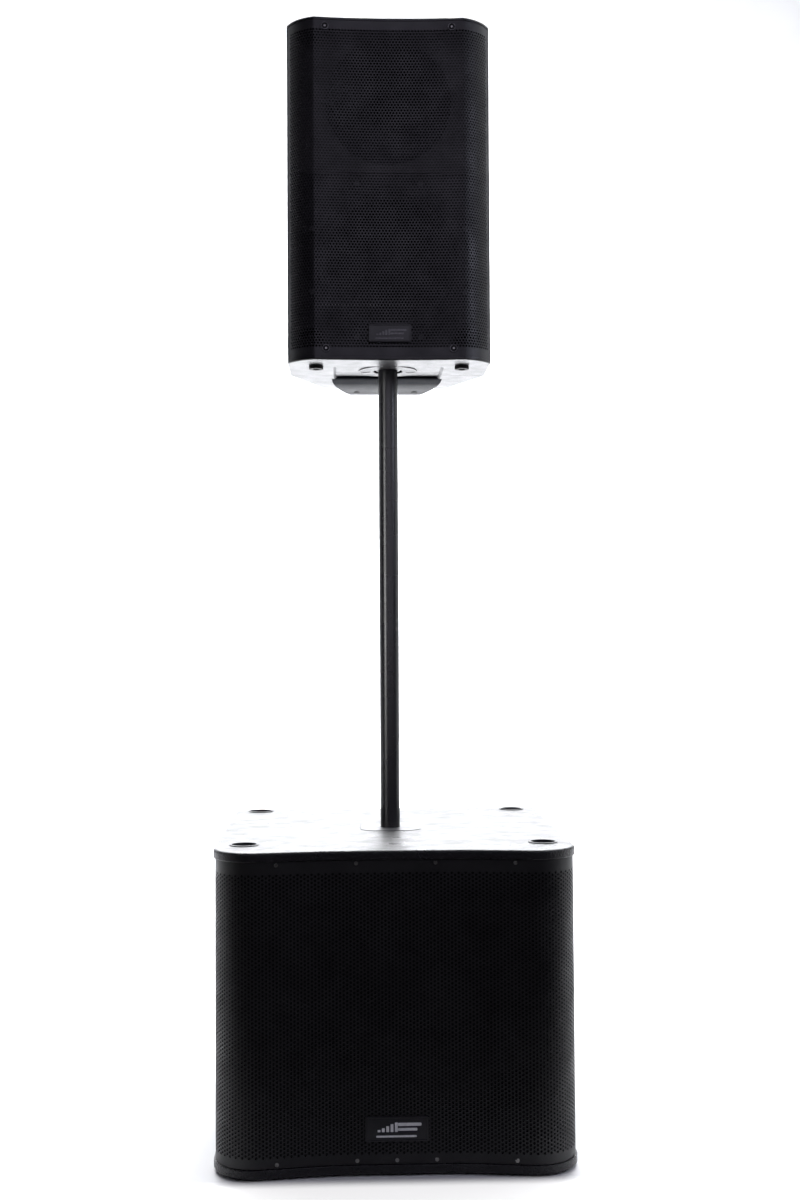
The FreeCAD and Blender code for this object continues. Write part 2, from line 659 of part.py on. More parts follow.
# places are x, z
SUB_JACKS = [(-95, 215), (-50, 215)]
SUB_XLRS = [(-95, 165), (-50, 165)]
SUB_KNOB, SUB_SWITCH, SUB_ROCKER, SUB_INLET = (10, 215), (10, 180), (80, 215), (80, 165)
SUB_LEDS = [(45, 218), (45, 208), (45, 198)]
SUB_PANEL_SCREWS = [(side * 141, z) for side in SIDES for z in (84, 203, 321, 440)]
SUB_PANEL_SCREWS += [(-55, 444), (55, 444), (-55, 80), (55, 80)]
SUB_FIN_Z0, SUB_FIN_Z1 = 269, 435


def sub_amp_panel():
    y0, y1 = SUB_BACK_Y - 1, SUB_PANEL_Y + 1
    panel = plate_y(0, SUB_AMP_Z, SUB_AMP_WIDTH, SUB_AMP_HEIGHT, 10,
                    SUB_BACK_Y + 0.05, SUB_PANEL_Y)
    panel = panel.cut(plate_y(0, 352, 232, 170, 4, y0, y1))
    holes = [(x, z, JACK_HOLE_RADIUS) for x, z in SUB_JACKS + SUB_XLRS]
    holes += [SUB_KNOB + (SUB_KNOB_HOLE,)]
    holes += [(x, z, SUB_LED_RADIUS) for x, z in SUB_LEDS]
    holes += [(x, z, 2.4) for x, z in SUB_PANEL_SCREWS]
    return cut_openings(panel, y0, y1, holes, [
        SUB_SWITCH + SWITCH_SLOT, SUB_ROCKER + ROCKER_HOLE, SUB_INLET + INLET_HOLE])


def sub_heat_sink():
    fin_count, half_span = 23, 111
    base = box(-122, 122, SUB_BACK_Y - 8, SUB_BACK_Y - 0.05, 262, 437.5)
    base = base.fuse(box(-114, 114, SUB_BACK_Y - 1, SUB_BACK_Y + 1.5, SUB_FIN_Z0, SUB_FIN_Z1))
    fins = []
    for k in range(fin_count):
        x = -half_span + k * 2 * half_span / (fin_count - 1)
        fins.append(box(x - 1.3, x + 1.3, SUB_BACK_Y + 1, SUB_FIN_TIP_Y,
                        SUB_FIN_Z0, SUB_FIN_Z1))
    return join([base] + fins)


def sub_connectors():
    pieces = [combo_jack(x, z, SUB_PANEL_Y) for x, z in SUB_JACKS]
    pieces += [male_xlr(x, z, SUB_PANEL_Y) for x, z in SUB_XLRS]
    pieces += [mains_inlet(*SUB_INLET, SUB_PANEL_Y)]
    pieces += [cylinder_y(SUB_LED_RADIUS - 0.05, SUB_PANEL_Y - 5, SUB_PANEL_Y + 0.8, x, z)
               for x, z in SUB_LEDS]
    return group(pieces)


save("sub_amp_panel", sub_amp_panel())
save("sub_fixing_screws", group(sub_driver.bolts() + [
    panel_screw(x, z, SUB_PANEL_Y, head=2.6, shank=3.9) for x, z in SUB_PANEL_SCREWS]))
save("sub_heat_sink", sub_heat_sink())
save("sub_amp_board", circuit_board(
    SUB_BACK_Y - 58, half_width=115, z0=110, z1=420,
    can_places=[(-80, 380), (-45, 380), (-80, 345), (-45, 345)], can_radius=15, can_height=35,
    blocks=[(10, 70, 330, 385, 38), (-90, -20, 250, 300, 18),
            (20, 95, 250, 290, 10), (-20, 10, 120, 150, 10)]))
save("sub_connectors", sub_connectors())
save("sub_gain_knob", knob(*SUB_KNOB, SUB_PANEL_Y, 8.0, 11.2, SUB_KNOB_HOLE))
save("sub_polarity_switch", slide_switch(*SUB_SWITCH, SUB_PANEL_Y))
save("sub_power_rocker", power_rocker(*SUB_ROCKER, SUB_PANEL_Y))

# =====================================================================
# pole
# =====================================================================
POLE_Z0 = SUB_HEIGHT - 1.55
POLE_Z1 = POLE_Z0 + POLE_LENGTH
POLE_BORE = POLE_RADIUS - POLE_WALL


def pole_tube():
    """Tube closed at the bottom by a bored plug."""
    tube = ring(POLE_RADIUS, POLE_BORE, POLE_LENGTH - 3, (0, 0, POLE_Z0))
    plug = cylinder(POLE_BORE, 30, (0, 0, POLE_Z0)).cut(cylinder(6, 40, (0, 0, POLE_Z0 + 12)))
    return tube.fuse(plug).cut(cylinder(8.0, 16, (0, 0, POLE_Z0 - 1)))


def pole_stud():
    stud = cylinder(STUD_RADIUS, STUD_LENGTH, (0, 0, POLE_Z0 - STUD_LENGTH))
    stud = stud.fuse(cylinder(7.95, 14.9, (0, 0, POLE_Z0)))
    return stud.makeChamfer(1.5, edges_at(stud, POLE_Z0 - STUD_LENGTH))


def pole_cap():
    cap = cylinder(POLE_RADIUS, 3, (0, 0, POLE_Z1 - 2.95))
    cap = cap.fuse(cylinder(POLE_BORE - 0.05, 18, (0, 0, POLE_Z1 - 20.95)))
    return fillet(cap, edges_at(cap, POLE_Z1 + 0.05), 1.5)


save("pole_tube", pole_tube())
save("pole_threaded_stud", pole_stud())
save("pole_end_cap", pole_cap())


# =====================================================================
# top loudspeaker: pole socket
# =====================================================================
def socket_liner():
    """Sleeve with a collar at its lower end."""
    base = (0, 0, CAB_Z0 + 5.4)
    return ring(LINER_OUTER, LINER_INNER, 77, base).fuse(ring(21.9, LINER_INNER, 1.2, base))


def tilt_socket():
    """Cup over the pole end with two trunnions along X."""
    z0 = CAB_Z0 + 6.8
    bore_z0 = CAB_Z0 + POCKET_DEPTH - 0.5
    cup = cylinder(23.5, POLE_Z1 + 5.0 - z0, (0, 0, z0))
    cup = cup.cut(cylinder(LINER_OUTER + 0.05, POLE_Z1 + 0.15 - bore_z0, (0, 0, bore_z0)))
    for side in SIDES:
        cup = cup.fuse(cylinder(TRUNNION_RADIUS, 14.0, (side * 22.0, 0, TILT_Z),
                                Vector(side, 0, 0)))
    return cup


def tilt_ring():
    """Flat ring round the socket, with two shallow discs and two slots in its underside."""
    z = CAB_Z0 + 3.4
    flat = ring(53.0, 26.5, 1.4, (0, 0, CAB_Z0 + 3.5))
    for side in SIDES:
        x = side * 41.0
        flat = flat.cut(cylinder(9.4, 0.9, (x, 0, z)))
        flat = flat.cut(box(x - 0.7, x + 0.7, -51.0, -44.0, z, z + 0.4))
    return flat


save("socket_liner", socket_liner())
save("tilt_socket", tilt_socket())
save("tilt_ring", tilt_ring())

# =====================================================================
# top loudspeaker: cabinet
# =====================================================================
CAB_BAFFLE_Y0, CAB_BAFFLE_Y1 = -86.0, -80.0
PORT_X, PORT_Z, PORT_RADIUS = 139, CAB_Z0 + 42, 25
GRIP_LENGTH, GRIP_WIDTH = 150.0, 56.0    # both handle recesses
TOP_GRIP_Y = 70.0
SIDE_GRIP_Y, SIDE_GRIP_Z = -38.0, CAB_Z0 + 372.0
FLY_X, FLY_Y = 120.0, -30.0
FLY_RADIUS, FLY_LENGTH = 8.0, 20.0
REAR_FOOT_X, REAR_FOOT_Y = 55.5, 178


def cab_front_points(depth):
    """Crease, flank arc middle and flank arc end of the plan moved inwards by depth."""
    flank = Part.Circle(Vector(CREASE_X, CREASE_Y, 0), Vector(FLANK_MID_X, FLANK_MID_Y, 0),
                        Vector(CAB_HALF, FLANK_END_Y, 0))
    flank_x, flank_y, flank_radius = flank.Center.x, flank.Center.y, flank.Radius - depth
    # The front arc is hollow: its centre lies in front of the cabinet.
    rise = CAB_FRONT_Y - CREASE_Y
    radius = (CREASE_X**2 + rise**2) / (2 * rise)
    centre_y = CAB_FRONT_Y - radius
    radius += depth
    # The crease is the crossing of the two circles with the larger x.
    dx, dy = flank_x, flank_y - centre_y
    distance = math.hypot(dx, dy)
    along = (radius**2 - flank_radius**2 + distance**2) / (2 * distance)
    across = math.sqrt(radius**2 - along**2)
    crease = ((along * dx + across * dy) / distance,
              centre_y + (along * dy - across * dx) / distance)
    end_x = CAB_HALF - depth
    end_y = flank_y - math.sqrt(flank_radius**2 - (end_x - flank_x)**2)
    angle = (math.atan2(crease[1] - flank_y, crease[0] - flank_x)
             + math.atan2(end_y - flank_y, end_x - flank_x)) / 2
    middle = (flank_x + flank_radius * math.cos(angle), flank_y + flank_radius * math.sin(angle))
    return crease, middle, (end_x, end_y)


def cab_face(depth):
    """Plan of the cabinet moved inwards by depth."""
    crease, middle, flank_end = cab_front_points(depth)
    rear_y = CAB_REAR_Y - depth
    bend = (CAB_HALF - depth, 24.0 - depth * 0.25)
    rear = (118.0 - depth * 0.8, rear_y)
    bend_arc = corner_arc(flank_end, bend, rear, 60.0 - depth)
    rear_arc = corner_arc(bend, rear, (0, rear_y), 14.0 - depth * 0.8)
    right = [(crease, middle, flank_end), (flank_end, bend_arc[0]), bend_arc,
             (bend_arc[2], rear_arc[0]), rear_arc]

    def mirror(point):
        return (-point[0], point[1])

    left = [[mirror(point) for point in segment[::-1]] for segment in right[::-1]]
    front = (mirror(crease), (0.0, CAB_FRONT_Y + depth), crease)
    back = (rear_arc[2], mirror(rear_arc[2]))
    return Part.Face(wire([front] + right + [back] + left))


def module_prism(front_half, front, rear_half, rear, bulge, z0, z1):
    """Boat-shaped prism from y front to y rear with bowed sides."""
    x, y = (front_half + rear_half) / 2 + bulge, (front + rear) / 2
    face = Part.Face(wire([
        ((-front_half, front), (front_half, front)),
        ((front_half, front), (x, y), (rear_half, rear)),
        ((rear_half, rear), (-rear_half, rear)),
        ((-rear_half, rear), (-x, y), (-front_half, front))]))
    return prism(face, z0, z1)


def cab_baffle():
    y0, y1 = CAB_BAFFLE_Y0 - 1, CAB_BAFFLE_Y1 + 1
    baffle = prism(cab_face(CAB_WALL - 1), CAB_Z0 + CAB_WALL - 1, CAB_Z1 - CAB_WALL + 1)
    baffle = baffle.common(box(-400, 400, CAB_BAFFLE_Y0, CAB_BAFFLE_Y1, CAB_Z0, CAB_Z1))
    baffle = baffle.cut(cylinder_y(141, y0, y1, 0, TOP_WOOFER_Z))
    baffle = baffle.cut(cylinder_y(116, y0, y1, 0, HORN_Z))
    for side in SIDES:
        baffle = baffle.cut(cylinder_y(PORT_RADIUS, y0, y1, side * PORT_X, PORT_Z))
    return baffle


def cab_hull():
    """Hollow cabinet open behind the grille, with baffle and port tubes."""
    outer = prism(cab_face(0.0), CAB_Z0, CAB_Z1)
    outer = fillet(outer, edges_at(outer, CAB_Z1) + edges_at(outer, CAB_Z0), 2.5)
    shell = outer.cut(prism(cab_face(CAB_WALL), CAB_Z0 + CAB_WALL, CAB_Z1 - CAB_WALL))
    shell = shell.cut(box(-400, 400, -300, FLANK_END_Y - 0.5,
                          CAB_Z0 + CAB_LIP, CAB_Z1 - CAB_LIP))
    shell = shell.fuse(cab_baffle())
    for side in SIDES:
        shell = shell.fuse(ring(PORT_RADIUS + 3, PORT_RADIUS, 72,
                                (side * PORT_X, CAB_BAFFLE_Y0, PORT_Z), Y_AXIS))
    return shell


def pocket_cutter():
    """Rounded pocket widening downwards at 45 degrees."""
    overcut = 0.4
    spread = POCKET_DEPTH + overcut
    wires = []
    for growth, z in ((spread, CAB_Z0 - overcut), (0, CAB_Z0 + POCKET_DEPTH)):
        outline = rounded_face(rounded_rect(0, -4.5, 188 + 2 * growth, 125 + 2 * growth,
                                            10 + growth)).OuterWire
        outline.translate(Vector(0, 0, z))
        wires.append(outline)
    return Part.makeLoft(wires, True)


def add_underside(shell):
    """Pole socket opening with trunnion bosses, module recess and pocket."""
    shell = shell.fuse(box(-104, 104, -77, 60, CAB_Z0 + 1, CAB_Z0 + POCKET_DEPTH + CAB_WALL))
    for side in SIDES:
        shell = shell.fuse(side_box(side, 29.0, 44.0, -14, 14,
                                    CAB_Z0 + POCKET_DEPTH + 1, TILT_Z + 12))
    shell = shell.cut(cylinder(27.6, 60, (0, 0, CAB_Z0 - 10)))
    for side in SIDES:
        shell = shell.cut(cylinder(TRUNNION_RADIUS + 0.06, 30, (side * 20.0, 0, TILT_Z),
                                   Vector(side, 0, 0)))
    rear = MODULE_REAR_Y + 20
    recess = module_prism(MODULE_FRONT_HALF + 0.6, MODULE_FRONT_Y - 0.6,
                          MODULE_REAR_HALF + 2, rear, 9, CAB_Z0 - 8, CAB_Z0 + 26)
    lining = module_prism(MODULE_FRONT_HALF + 4, MODULE_FRONT_Y - 4.5,
                          MODULE_REAR_HALF + 6, rear, 9, CAB_Z0 + 1, CAB_Z0 + 30)
    lining = lining.common(prism(cab_face(1.0), CAB_Z0 + 1, CAB_Z0 + 60))
    return shell.fuse(lining).cut(recess).cut(pocket_cutter())


def add_recesses(shell):
    """Handle recesses in the top and the right side, and the fly-point bosses."""
    length, width = GRIP_LENGTH, GRIP_WIDTH
    shell = shell.fuse(plate_z(0, TOP_GRIP_Y, length + 8, width + 8, 16,
                               CAB_Z1 - 42, CAB_Z1 - 2))
    shell = shell.cut(plate_z(0, TOP_GRIP_Y, length, width, 12, CAB_Z1 - 38, CAB_Z1 + 1))
    shell = shell.fuse(plate_x(SIDE_GRIP_Y, SIDE_GRIP_Z, width + 8, length + 8, 16,
                               CAB_HALF - 40, CAB_HALF - 2))
    shell = shell.cut(plate_x(SIDE_GRIP_Y, SIDE_GRIP_Z, width, length, 12,
                              CAB_HALF - 36, CAB_HALF + 1))
    for side in SIDES:
        shell = shell.fuse(cylinder(12, 24, (side * FLY_X, FLY_Y, CAB_Z1 - 26)))
        shell = shell.cut(cylinder(FLY_RADIUS + 0.05, 40,
                                   (side * FLY_X, FLY_Y, CAB_Z1 - FLY_LENGTH)))
    return shell


def save_shells():
    shell = add_underside(cab_hull())
    # rear opening for the electronics
    shell = shell.cut(box(-86, 86, CAB_REAR_Y - 12, CAB_REAR_Y + 1, CAB_Z0 + 40, CAB_Z0 + 548))
    shell = add_recesses(shell)
    for name, y0, y1 in (("front_shell", -300, CAB_SPLIT_Y - 0.4),
                         ("rear_shell", CAB_SPLIT_Y + 0.4, 400)):
        save(name, largest(shell.common(box(-400, 400, y0, y1, CAB_Z0 - 50, CAB_Z1 + 50))))


def top_feet():
    """Two wide front feet and two small feet under the cowl."""
    z = CAB_Z0 - 6.0
    feet = []
    for side in SIDES:
        x, y = side * 129, -77
        foot = cylinder(12.5, 6.0, (x, y, z)).cut(cylinder(6.0, 3, (x, y, z - 1)))
        feet.append(foot.fuse(cylinder(3.6, 2.0, (x, y, z + 1.3))))
        feet.append(cylinder(5.6, 5.88, (side * REAR_FOOT_X, REAR_FOOT_Y, z)))
    return group(feet)


def fly_insert(side):
    x = side * FLY_X
    insert = cylinder(FLY_RADIUS, FLY_LENGTH, (x, FLY_Y, CAB_Z1 - FLY_LENGTH))
    return insert.cut(cylinder(4.25, 16, (x, FLY_Y, CAB_Z1 - 15)))


def handle_bars():
    """Bars across the two recesses, rounded along their length."""
    half = GRIP_LENGTH / 2 - 0.05
    bars = [box(-half, half, TOP_GRIP_Y - 13, TOP_GRIP_Y + 13, CAB_Z1 - 17, CAB_Z1 - 1),
            box(CAB_HALF - 17, CAB_HALF - 1, SIDE_GRIP_Y - 13, SIDE_GRIP_Y + 13,
                SIDE_GRIP_Z - half, SIDE_GRIP_Z + half)]
    return group([fillet(bar, [e for e in bar.Edges if abs(e.Length - 2 * half) < 0.01], 7.0)
                  for bar in bars])


save_shells()
save("top_feet", top_feet())
save("fly_inserts", group([fly_insert(side) for side in SIDES]))
save("handle_bars", handle_bars())

# =====================================================================
# top loudspeaker: grille, horn and woofer
# =====================================================================
TOP_GRILLE_INSET = 1.0
TOP_GRILLE_FACE = cab_face(TOP_GRILLE_INSET)
HORN_MOUTH, HORN_THROAT, HORN_DEPTH = 112.0, 18.0, 96.0
HORN_Y = CAB_BAFFLE_Y0 - 5.05            # front face of the horn


def top_grille():
    grille = prism(TOP_GRILLE_FACE, CAB_Z0 + CAB_LIP + 0.4, CAB_Z1 - CAB_LIP - 0.4)
    grille = grille.cut(prism(cab_face(TOP_GRILLE_INSET + GRILLE_THICKNESS), CAB_Z0, CAB_Z1))
    return largest(grille.common(box(-400, 400, -300, FLANK_END_Y - 1.0, CAB_Z0, CAB_Z1)))


def top_grille_screw(x, z):
    """Screw in a dished washer."""
    y = front_y(TOP_GRILLE_FACE, x) - 0.62
    washer = ring(6.6, 3.4, 1.2, (x, y - 1.25, z), Y_AXIS)
    washer = washer.fuse(ring(6.6, 4.9, 0.8, (x, y - 1.9, z), Y_AXIS))
    head = cylinder_y(3.2, y - 1.9, y - 0.05, x, z).cut(cylinder_y(1.3, y - 3, y - 1.0, x, z))
    return washer.fuse(head).fuse(ring(3.6, 3.0, 0.6, (x, y - 0.7, z), Y_AXIS))


def horn_waveguide():
    """Mounting plate, round flare and throat flange."""
    steps, wall = 14, 3.0
    inside = [(HORN_THROAT + (HORN_MOUTH - HORN_THROAT) * (1 - k / steps) ** 1.7,
               HORN_Y + HORN_DEPTH * k / steps) for k in range(steps + 1)]
    outside = [(radius + wall, y) for radius, y in inside]
    flare = revolve(inside + outside[::-1], HORN_Z)
    plate = plate_y(0, HORN_Z, 330, 252, 10, HORN_Y, HORN_Y + 5)
    plate = plate.cut(cylinder_y(HORN_MOUTH + 1.0, HORN_Y - 1, HORN_Y + 6, 0, HORN_Z))
    end_y = HORN_Y + HORN_DEPTH
    throat = revolve([(HORN_THROAT + 1.0, end_y - 6), (40, end_y - 6), (40, end_y),
                      (HORN_THROAT, end_y)], HORN_Z)
    return plate.fuse(flare).fuse(throat)


def compression_driver():
    y = HORN_Y + HORN_DEPTH + 0.05
    return revolve([(HORN_THROAT, y), (40, y), (44, y + 6), (44, y + 40), (38, y + 48),
                    (0, y + 48), (0, y + 22), (HORN_THROAT, y + 16)], HORN_Z)


save("top_grille", top_grille())
save("top_grille_screws", group([top_grille_screw(side * 110.5, z) for side in SIDES
                                 for z in (CAB_Z0 + 20.0, CAB_Z1 - 16.5)]))
save("top_badge", badge(
    front_y(TOP_GRILLE_FACE, 0) - 0.7, thickness=3.0, floor=2.5,
    plate=(CAB_Z0 + 46.5, 75, 32, 2.2), recess=(CAB_Z0 + 46.5, 70, 27, 1.4),
    marks=[(CAB_Z0 + 51, 46, 3.6, 1.7), (CAB_Z0 + 42.5, 30, 2.0, 0.9)]))
save("horn_waveguide", horn_waveguide())
save("compression_driver", compression_driver())

top_driver = ConeDriver(z=TOP_WOOFER_Z, face_y=CAB_BAFFLE_Y0 - 6.05, outer_radius=152.0,
                        inner_radius=133.0, cone_radius=114.0, coil_radius=32.0, depth=112.0,
                        magnet_radius=72.0, magnet_height=16.0, bolt_radius=2.6)
top_driver.save_pieces("top")

# =====================================================================
# top loudspeaker: amplifier module on the rear
# =====================================================================
MODULE_Z0, MODULE_Z1 = CAB_Z0 + 8.0, CAB_Z0 + 572.0
CONTROL_Z0, CONTROL_Z1 = CAB_Z0 + 36.0, CAB_Z0 + 262.0     # control panel
SINK_Z0, SINK_Z1 = CAB_Z0 + 274.0, CAB_Z0 + 560.0          # heat sink
CONTROL_Y = CAB_REAR_Y + 16.0            # control panel face
SEAT_Y = CAB_REAR_Y + 8                  # seats of the module screws
TOP_LED_RADIUS, TOP_KNOB_HOLE = 1.8, 3.6
# places are x, z
TOP_JACKS = [(-42, CAB_Z0 + 190), (0, CAB_Z0 + 190)]
TOP_XLR = (42, CAB_Z0 + 190)
TOP_KNOBS = [(-42, CAB_Z0 + 232), (0, CAB_Z0 + 232)]
TOP_SWITCH, TOP_ROCKER, TOP_INLET = (42, CAB_Z0 + 232), (-42, CAB_Z0 + 96), (20, CAB_Z0 + 96)
TOP_LEDS = [(x, CAB_Z0 + 140) for x in (-40, -26, -12)]
RING_PLACES = [(x, CAB_Z0 + 146) for x in (24, 40)]        # small round sockets
RING_RADIUS = 5.0
MODULE_SCREWS = [(side * 45, CAB_Z0 + z) for side in SIDES for z in (22, 268, 566)]


def amp_chassis():
    outside = MODULE_REAR_Y + 2
    body = module_prism(91.0, CAB_REAR_Y + 0.1, MODULE_REAR_HALF + 2, MODULE_REAR_Y, 4,
                        MODULE_Z0, MODULE_Z1)
    body = fillet(body, edges_at(body, MODULE_Z1), 3.0)
    body = body.cut(plate_y(0, (CONTROL_Z0 + CONTROL_Z1) / 2, 130, CONTROL_Z1 - CONTROL_Z0, 8,
                            CONTROL_Y, outside))
    body = body.cut(plate_y(0, (SINK_Z0 + SINK_Z1) / 2, 128, SINK_Z1 - SINK_Z0, 4,
                            CAB_REAR_Y + 9, outside))
    # hollow behind the control panel
    body = body.cut(box(-66, 66, CAB_REAR_Y - 1, CONTROL_Y - 3, CONTROL_Z0 + 6, CONTROL_Z1 - 6))
    holes = [(x, z, JACK_HOLE_RADIUS) for x, z in TOP_JACKS + [TOP_XLR]]
    holes += [(x, z, TOP_KNOB_HOLE) for x, z in TOP_KNOBS]
    holes += [(x, z, TOP_LED_RADIUS) for x, z in TOP_LEDS]
    holes += [(x, z, RING_RADIUS + 0.1) for x, z in RING_PLACES]
    body = cut_openings(body, CONTROL_Y - 4, CONTROL_Y + 1, holes, [
        TOP_SWITCH + SWITCH_SLOT, TOP_ROCKER + ROCKER_HOLE, TOP_INLET + INLET_HOLE])
    for x, z in MODULE_SCREWS:
        body = body.cut(cylinder_y(4.6, SEAT_Y, outside, x, z))
        body = body.cut(cylinder_y(2.3, CAB_REAR_Y - 1, MODULE_REAR_Y, x, z))
    return largest(body)


def top_heat_sink():
    """Finned block; the fin tips fall back towards both sides."""
    fin_count, half_span = 15, 60
    parts = [box(-62, 62, CAB_REAR_Y + 9.05, CAB_REAR_Y + 15, SINK_Z0 + 2, SINK_Z1 - 2)]
    for k in range(fin_count):
        x = -half_span + k * 2 * half_span / (fin_count - 1)
        tip_y = MODULE_REAR_Y - 0.5 - 3.0 * (abs(x) / 70.0) ** 2
        parts.append(box(x - 1.2, x + 1.2, CAB_REAR_Y + 14, tip_y, SINK_Z0 + 3, SINK_Z1 - 3))
    return join(parts)


def top_connectors():
    pieces = [combo_jack(x, z, CONTROL_Y) for x, z in TOP_JACKS]
    pieces += [male_xlr(*TOP_XLR, CONTROL_Y), mains_inlet(*TOP_INLET, CONTROL_Y)]
    pieces += [cylinder_y(TOP_LED_RADIUS - 0.05, CONTROL_Y - 5, CONTROL_Y + 0.7, x, z)
               for x, z in TOP_LEDS]
    pieces += [ring(RING_RADIUS, 1.8, 12, (x, CONTROL_Y - 5, z), Y_AXIS)
               for x, z in RING_PLACES]
    return group(pieces)


def amp_cowl():
    """Lower cowl; its underside slopes down towards the rear."""
    cowl = module_prism(MODULE_FRONT_HALF, MODULE_FRONT_Y, MODULE_REAR_HALF, MODULE_REAR_Y, 9,
                        CAB_Z0 - 12, CAB_Z0 + 25.4)
    front, rear = MODULE_FRONT_Y, MODULE_REAR_Y
    # underside: y, height above the cabinet bottom
    belly = [(front - 20, 2.6), (front, 2.4), (front + 0.7, 1.2), (front + 2.4, 0.2),
             (front + 6, -0.4), (front + 16, -1.1), (front + 44, -2.3), (front + 84, -3.5),
             (rear - 26, -4.4), (rear - 24, -4.7), (rear + 20, -5.4),
             (rear + 20, -60), (front - 20, -60)]
    below = polygon_face([(y, CAB_Z0 + z) for y, z in belly])
    cowl = cowl.cut(extrude_x(below, -200, 200))
    # room for the chassis, then a hollow in the top
    cowl = cowl.cut(box(-150, 150, CAB_REAR_Y - 0.2, rear + 5, MODULE_Z0 - 0.1, CAB_Z0 + 40))
    cowl = cowl.cut(box(-70, 70, front + 8, CAB_REAR_Y - 14, CAB_Z0 + 19, CAB_Z0 + 40))
    for side in SIDES:
        cowl = cowl.cut(cylinder(6.2, 8, (side * REAR_FOOT_X, REAR_FOOT_Y, CAB_Z0 - 8)))
    return largest(cowl)


save("amp_chassis", amp_chassis())
save("top_heat_sink", top_heat_sink())
save("top_amp_board", circuit_board(
    114, half_width=78, z0=CAB_Z0 + 60, z1=CAB_Z0 + 520,
    can_places=[(x, CAB_Z0 + z) for x in (-50, -22) for z in (470, 442)],
    can_radius=12, can_height=30,
    blocks=[(10, 60, CAB_Z0 + 420, CAB_Z0 + 470, 26), (-60, 0, CAB_Z0 + 330, CAB_Z0 + 380, 18),
            (20, 64, CAB_Z0 + 300, CAB_Z0 + 340, 8)]))
save("top_connectors", top_connectors())
for name, place in zip(("gain_knob_a", "gain_knob_b"), TOP_KNOBS):
    save(name, knob(*place, CONTROL_Y, 6.5, 11.0, TOP_KNOB_HOLE))
save("bass_switch", slide_switch(*TOP_SWITCH, CONTROL_Y))
save("top_power_rocker", power_rocker(*TOP_ROCKER, CONTROL_Y))
save("amp_cowl", amp_cowl())
save("driver_bolts", group(top_driver.bolts() + [
    panel_screw(x, z, SEAT_Y, head=3.0, shank=7.8) for x, z in MODULE_SCREWS]))
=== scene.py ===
# Looks for a portable sound stack: subwoofer on the floor, pole on it, two-way loudspeaker on top.
# The stack stands on z = 0 round the Z axis and faces -Y. Meshes are laid out in millimetres;
# shader coordinates, lights and camera are in metres.
import bmesh
import bpy
import json
import math
import numpy as np
from mathutils import Matrix, Vector


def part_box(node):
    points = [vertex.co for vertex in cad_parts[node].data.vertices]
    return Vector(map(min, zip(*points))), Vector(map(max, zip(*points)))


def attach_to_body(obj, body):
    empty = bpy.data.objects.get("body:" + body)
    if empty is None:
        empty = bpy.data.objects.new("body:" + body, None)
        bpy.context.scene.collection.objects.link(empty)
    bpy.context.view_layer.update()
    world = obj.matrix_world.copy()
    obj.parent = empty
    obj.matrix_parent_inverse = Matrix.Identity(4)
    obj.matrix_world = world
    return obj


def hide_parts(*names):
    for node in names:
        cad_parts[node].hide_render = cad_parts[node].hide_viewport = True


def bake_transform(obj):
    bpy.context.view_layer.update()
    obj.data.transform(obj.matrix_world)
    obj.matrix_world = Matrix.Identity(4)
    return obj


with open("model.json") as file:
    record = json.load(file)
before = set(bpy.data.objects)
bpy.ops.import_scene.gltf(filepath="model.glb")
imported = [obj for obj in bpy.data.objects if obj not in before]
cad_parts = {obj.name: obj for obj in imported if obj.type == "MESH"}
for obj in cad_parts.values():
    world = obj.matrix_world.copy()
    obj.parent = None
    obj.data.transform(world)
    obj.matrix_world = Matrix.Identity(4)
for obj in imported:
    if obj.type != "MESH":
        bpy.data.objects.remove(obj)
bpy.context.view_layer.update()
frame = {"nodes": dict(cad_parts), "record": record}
NODES = frame["nodes"]
SCENE = bpy.context.scene
RNG = np.random.default_rng(7)
MM = 0.001


def box_mm(node):
    """Low and high corners of a CAD piece."""
    return [[value / MM for value in corner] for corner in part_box(node)]


# Subwoofer front in plan: flanks, round corners, and a middle set back from them
SUB_HALF_W = 297.0
SUB_MID_Y = -297.0
SUB_MID_HALF = 110.0
SUB_CORNER_Y = -324.7
SUB_CORNER_R = 70.0
SUB_BEND_R = 600.0
SUB_GRILLE_INSET = 2.9
SUB_INNER_Z0 = box_mm("sub_bottom_panel")[1][2]
SUB_INNER_Z1 = box_mm("sub_top_panel")[0][2]

# Upper cabinet: a hollow front arc meets a round flank at a crease
TOP_Z = 1343.5
TOP_H = 599.0
TOP_MID_Y = -133.0
TOP_CREASE = (130.0, -140.0)
TOP_FLANK_MID = (158.0, -125.0)
TOP_FLANK_END = (178.0, -98.0)
TOP_SHELL_Z1 = box_mm("front_shell")[1][2]

# Drivers: height of the axis
SUB_WOOFER_Z = 263.0
TOP_WOOFER_Z = TOP_Z + 184.0
HORN_Z = TOP_Z + 466.0


# ------------------------------------------------------------------ shader building
def tinted(color, factor):
    return tuple(c * factor for c in color)


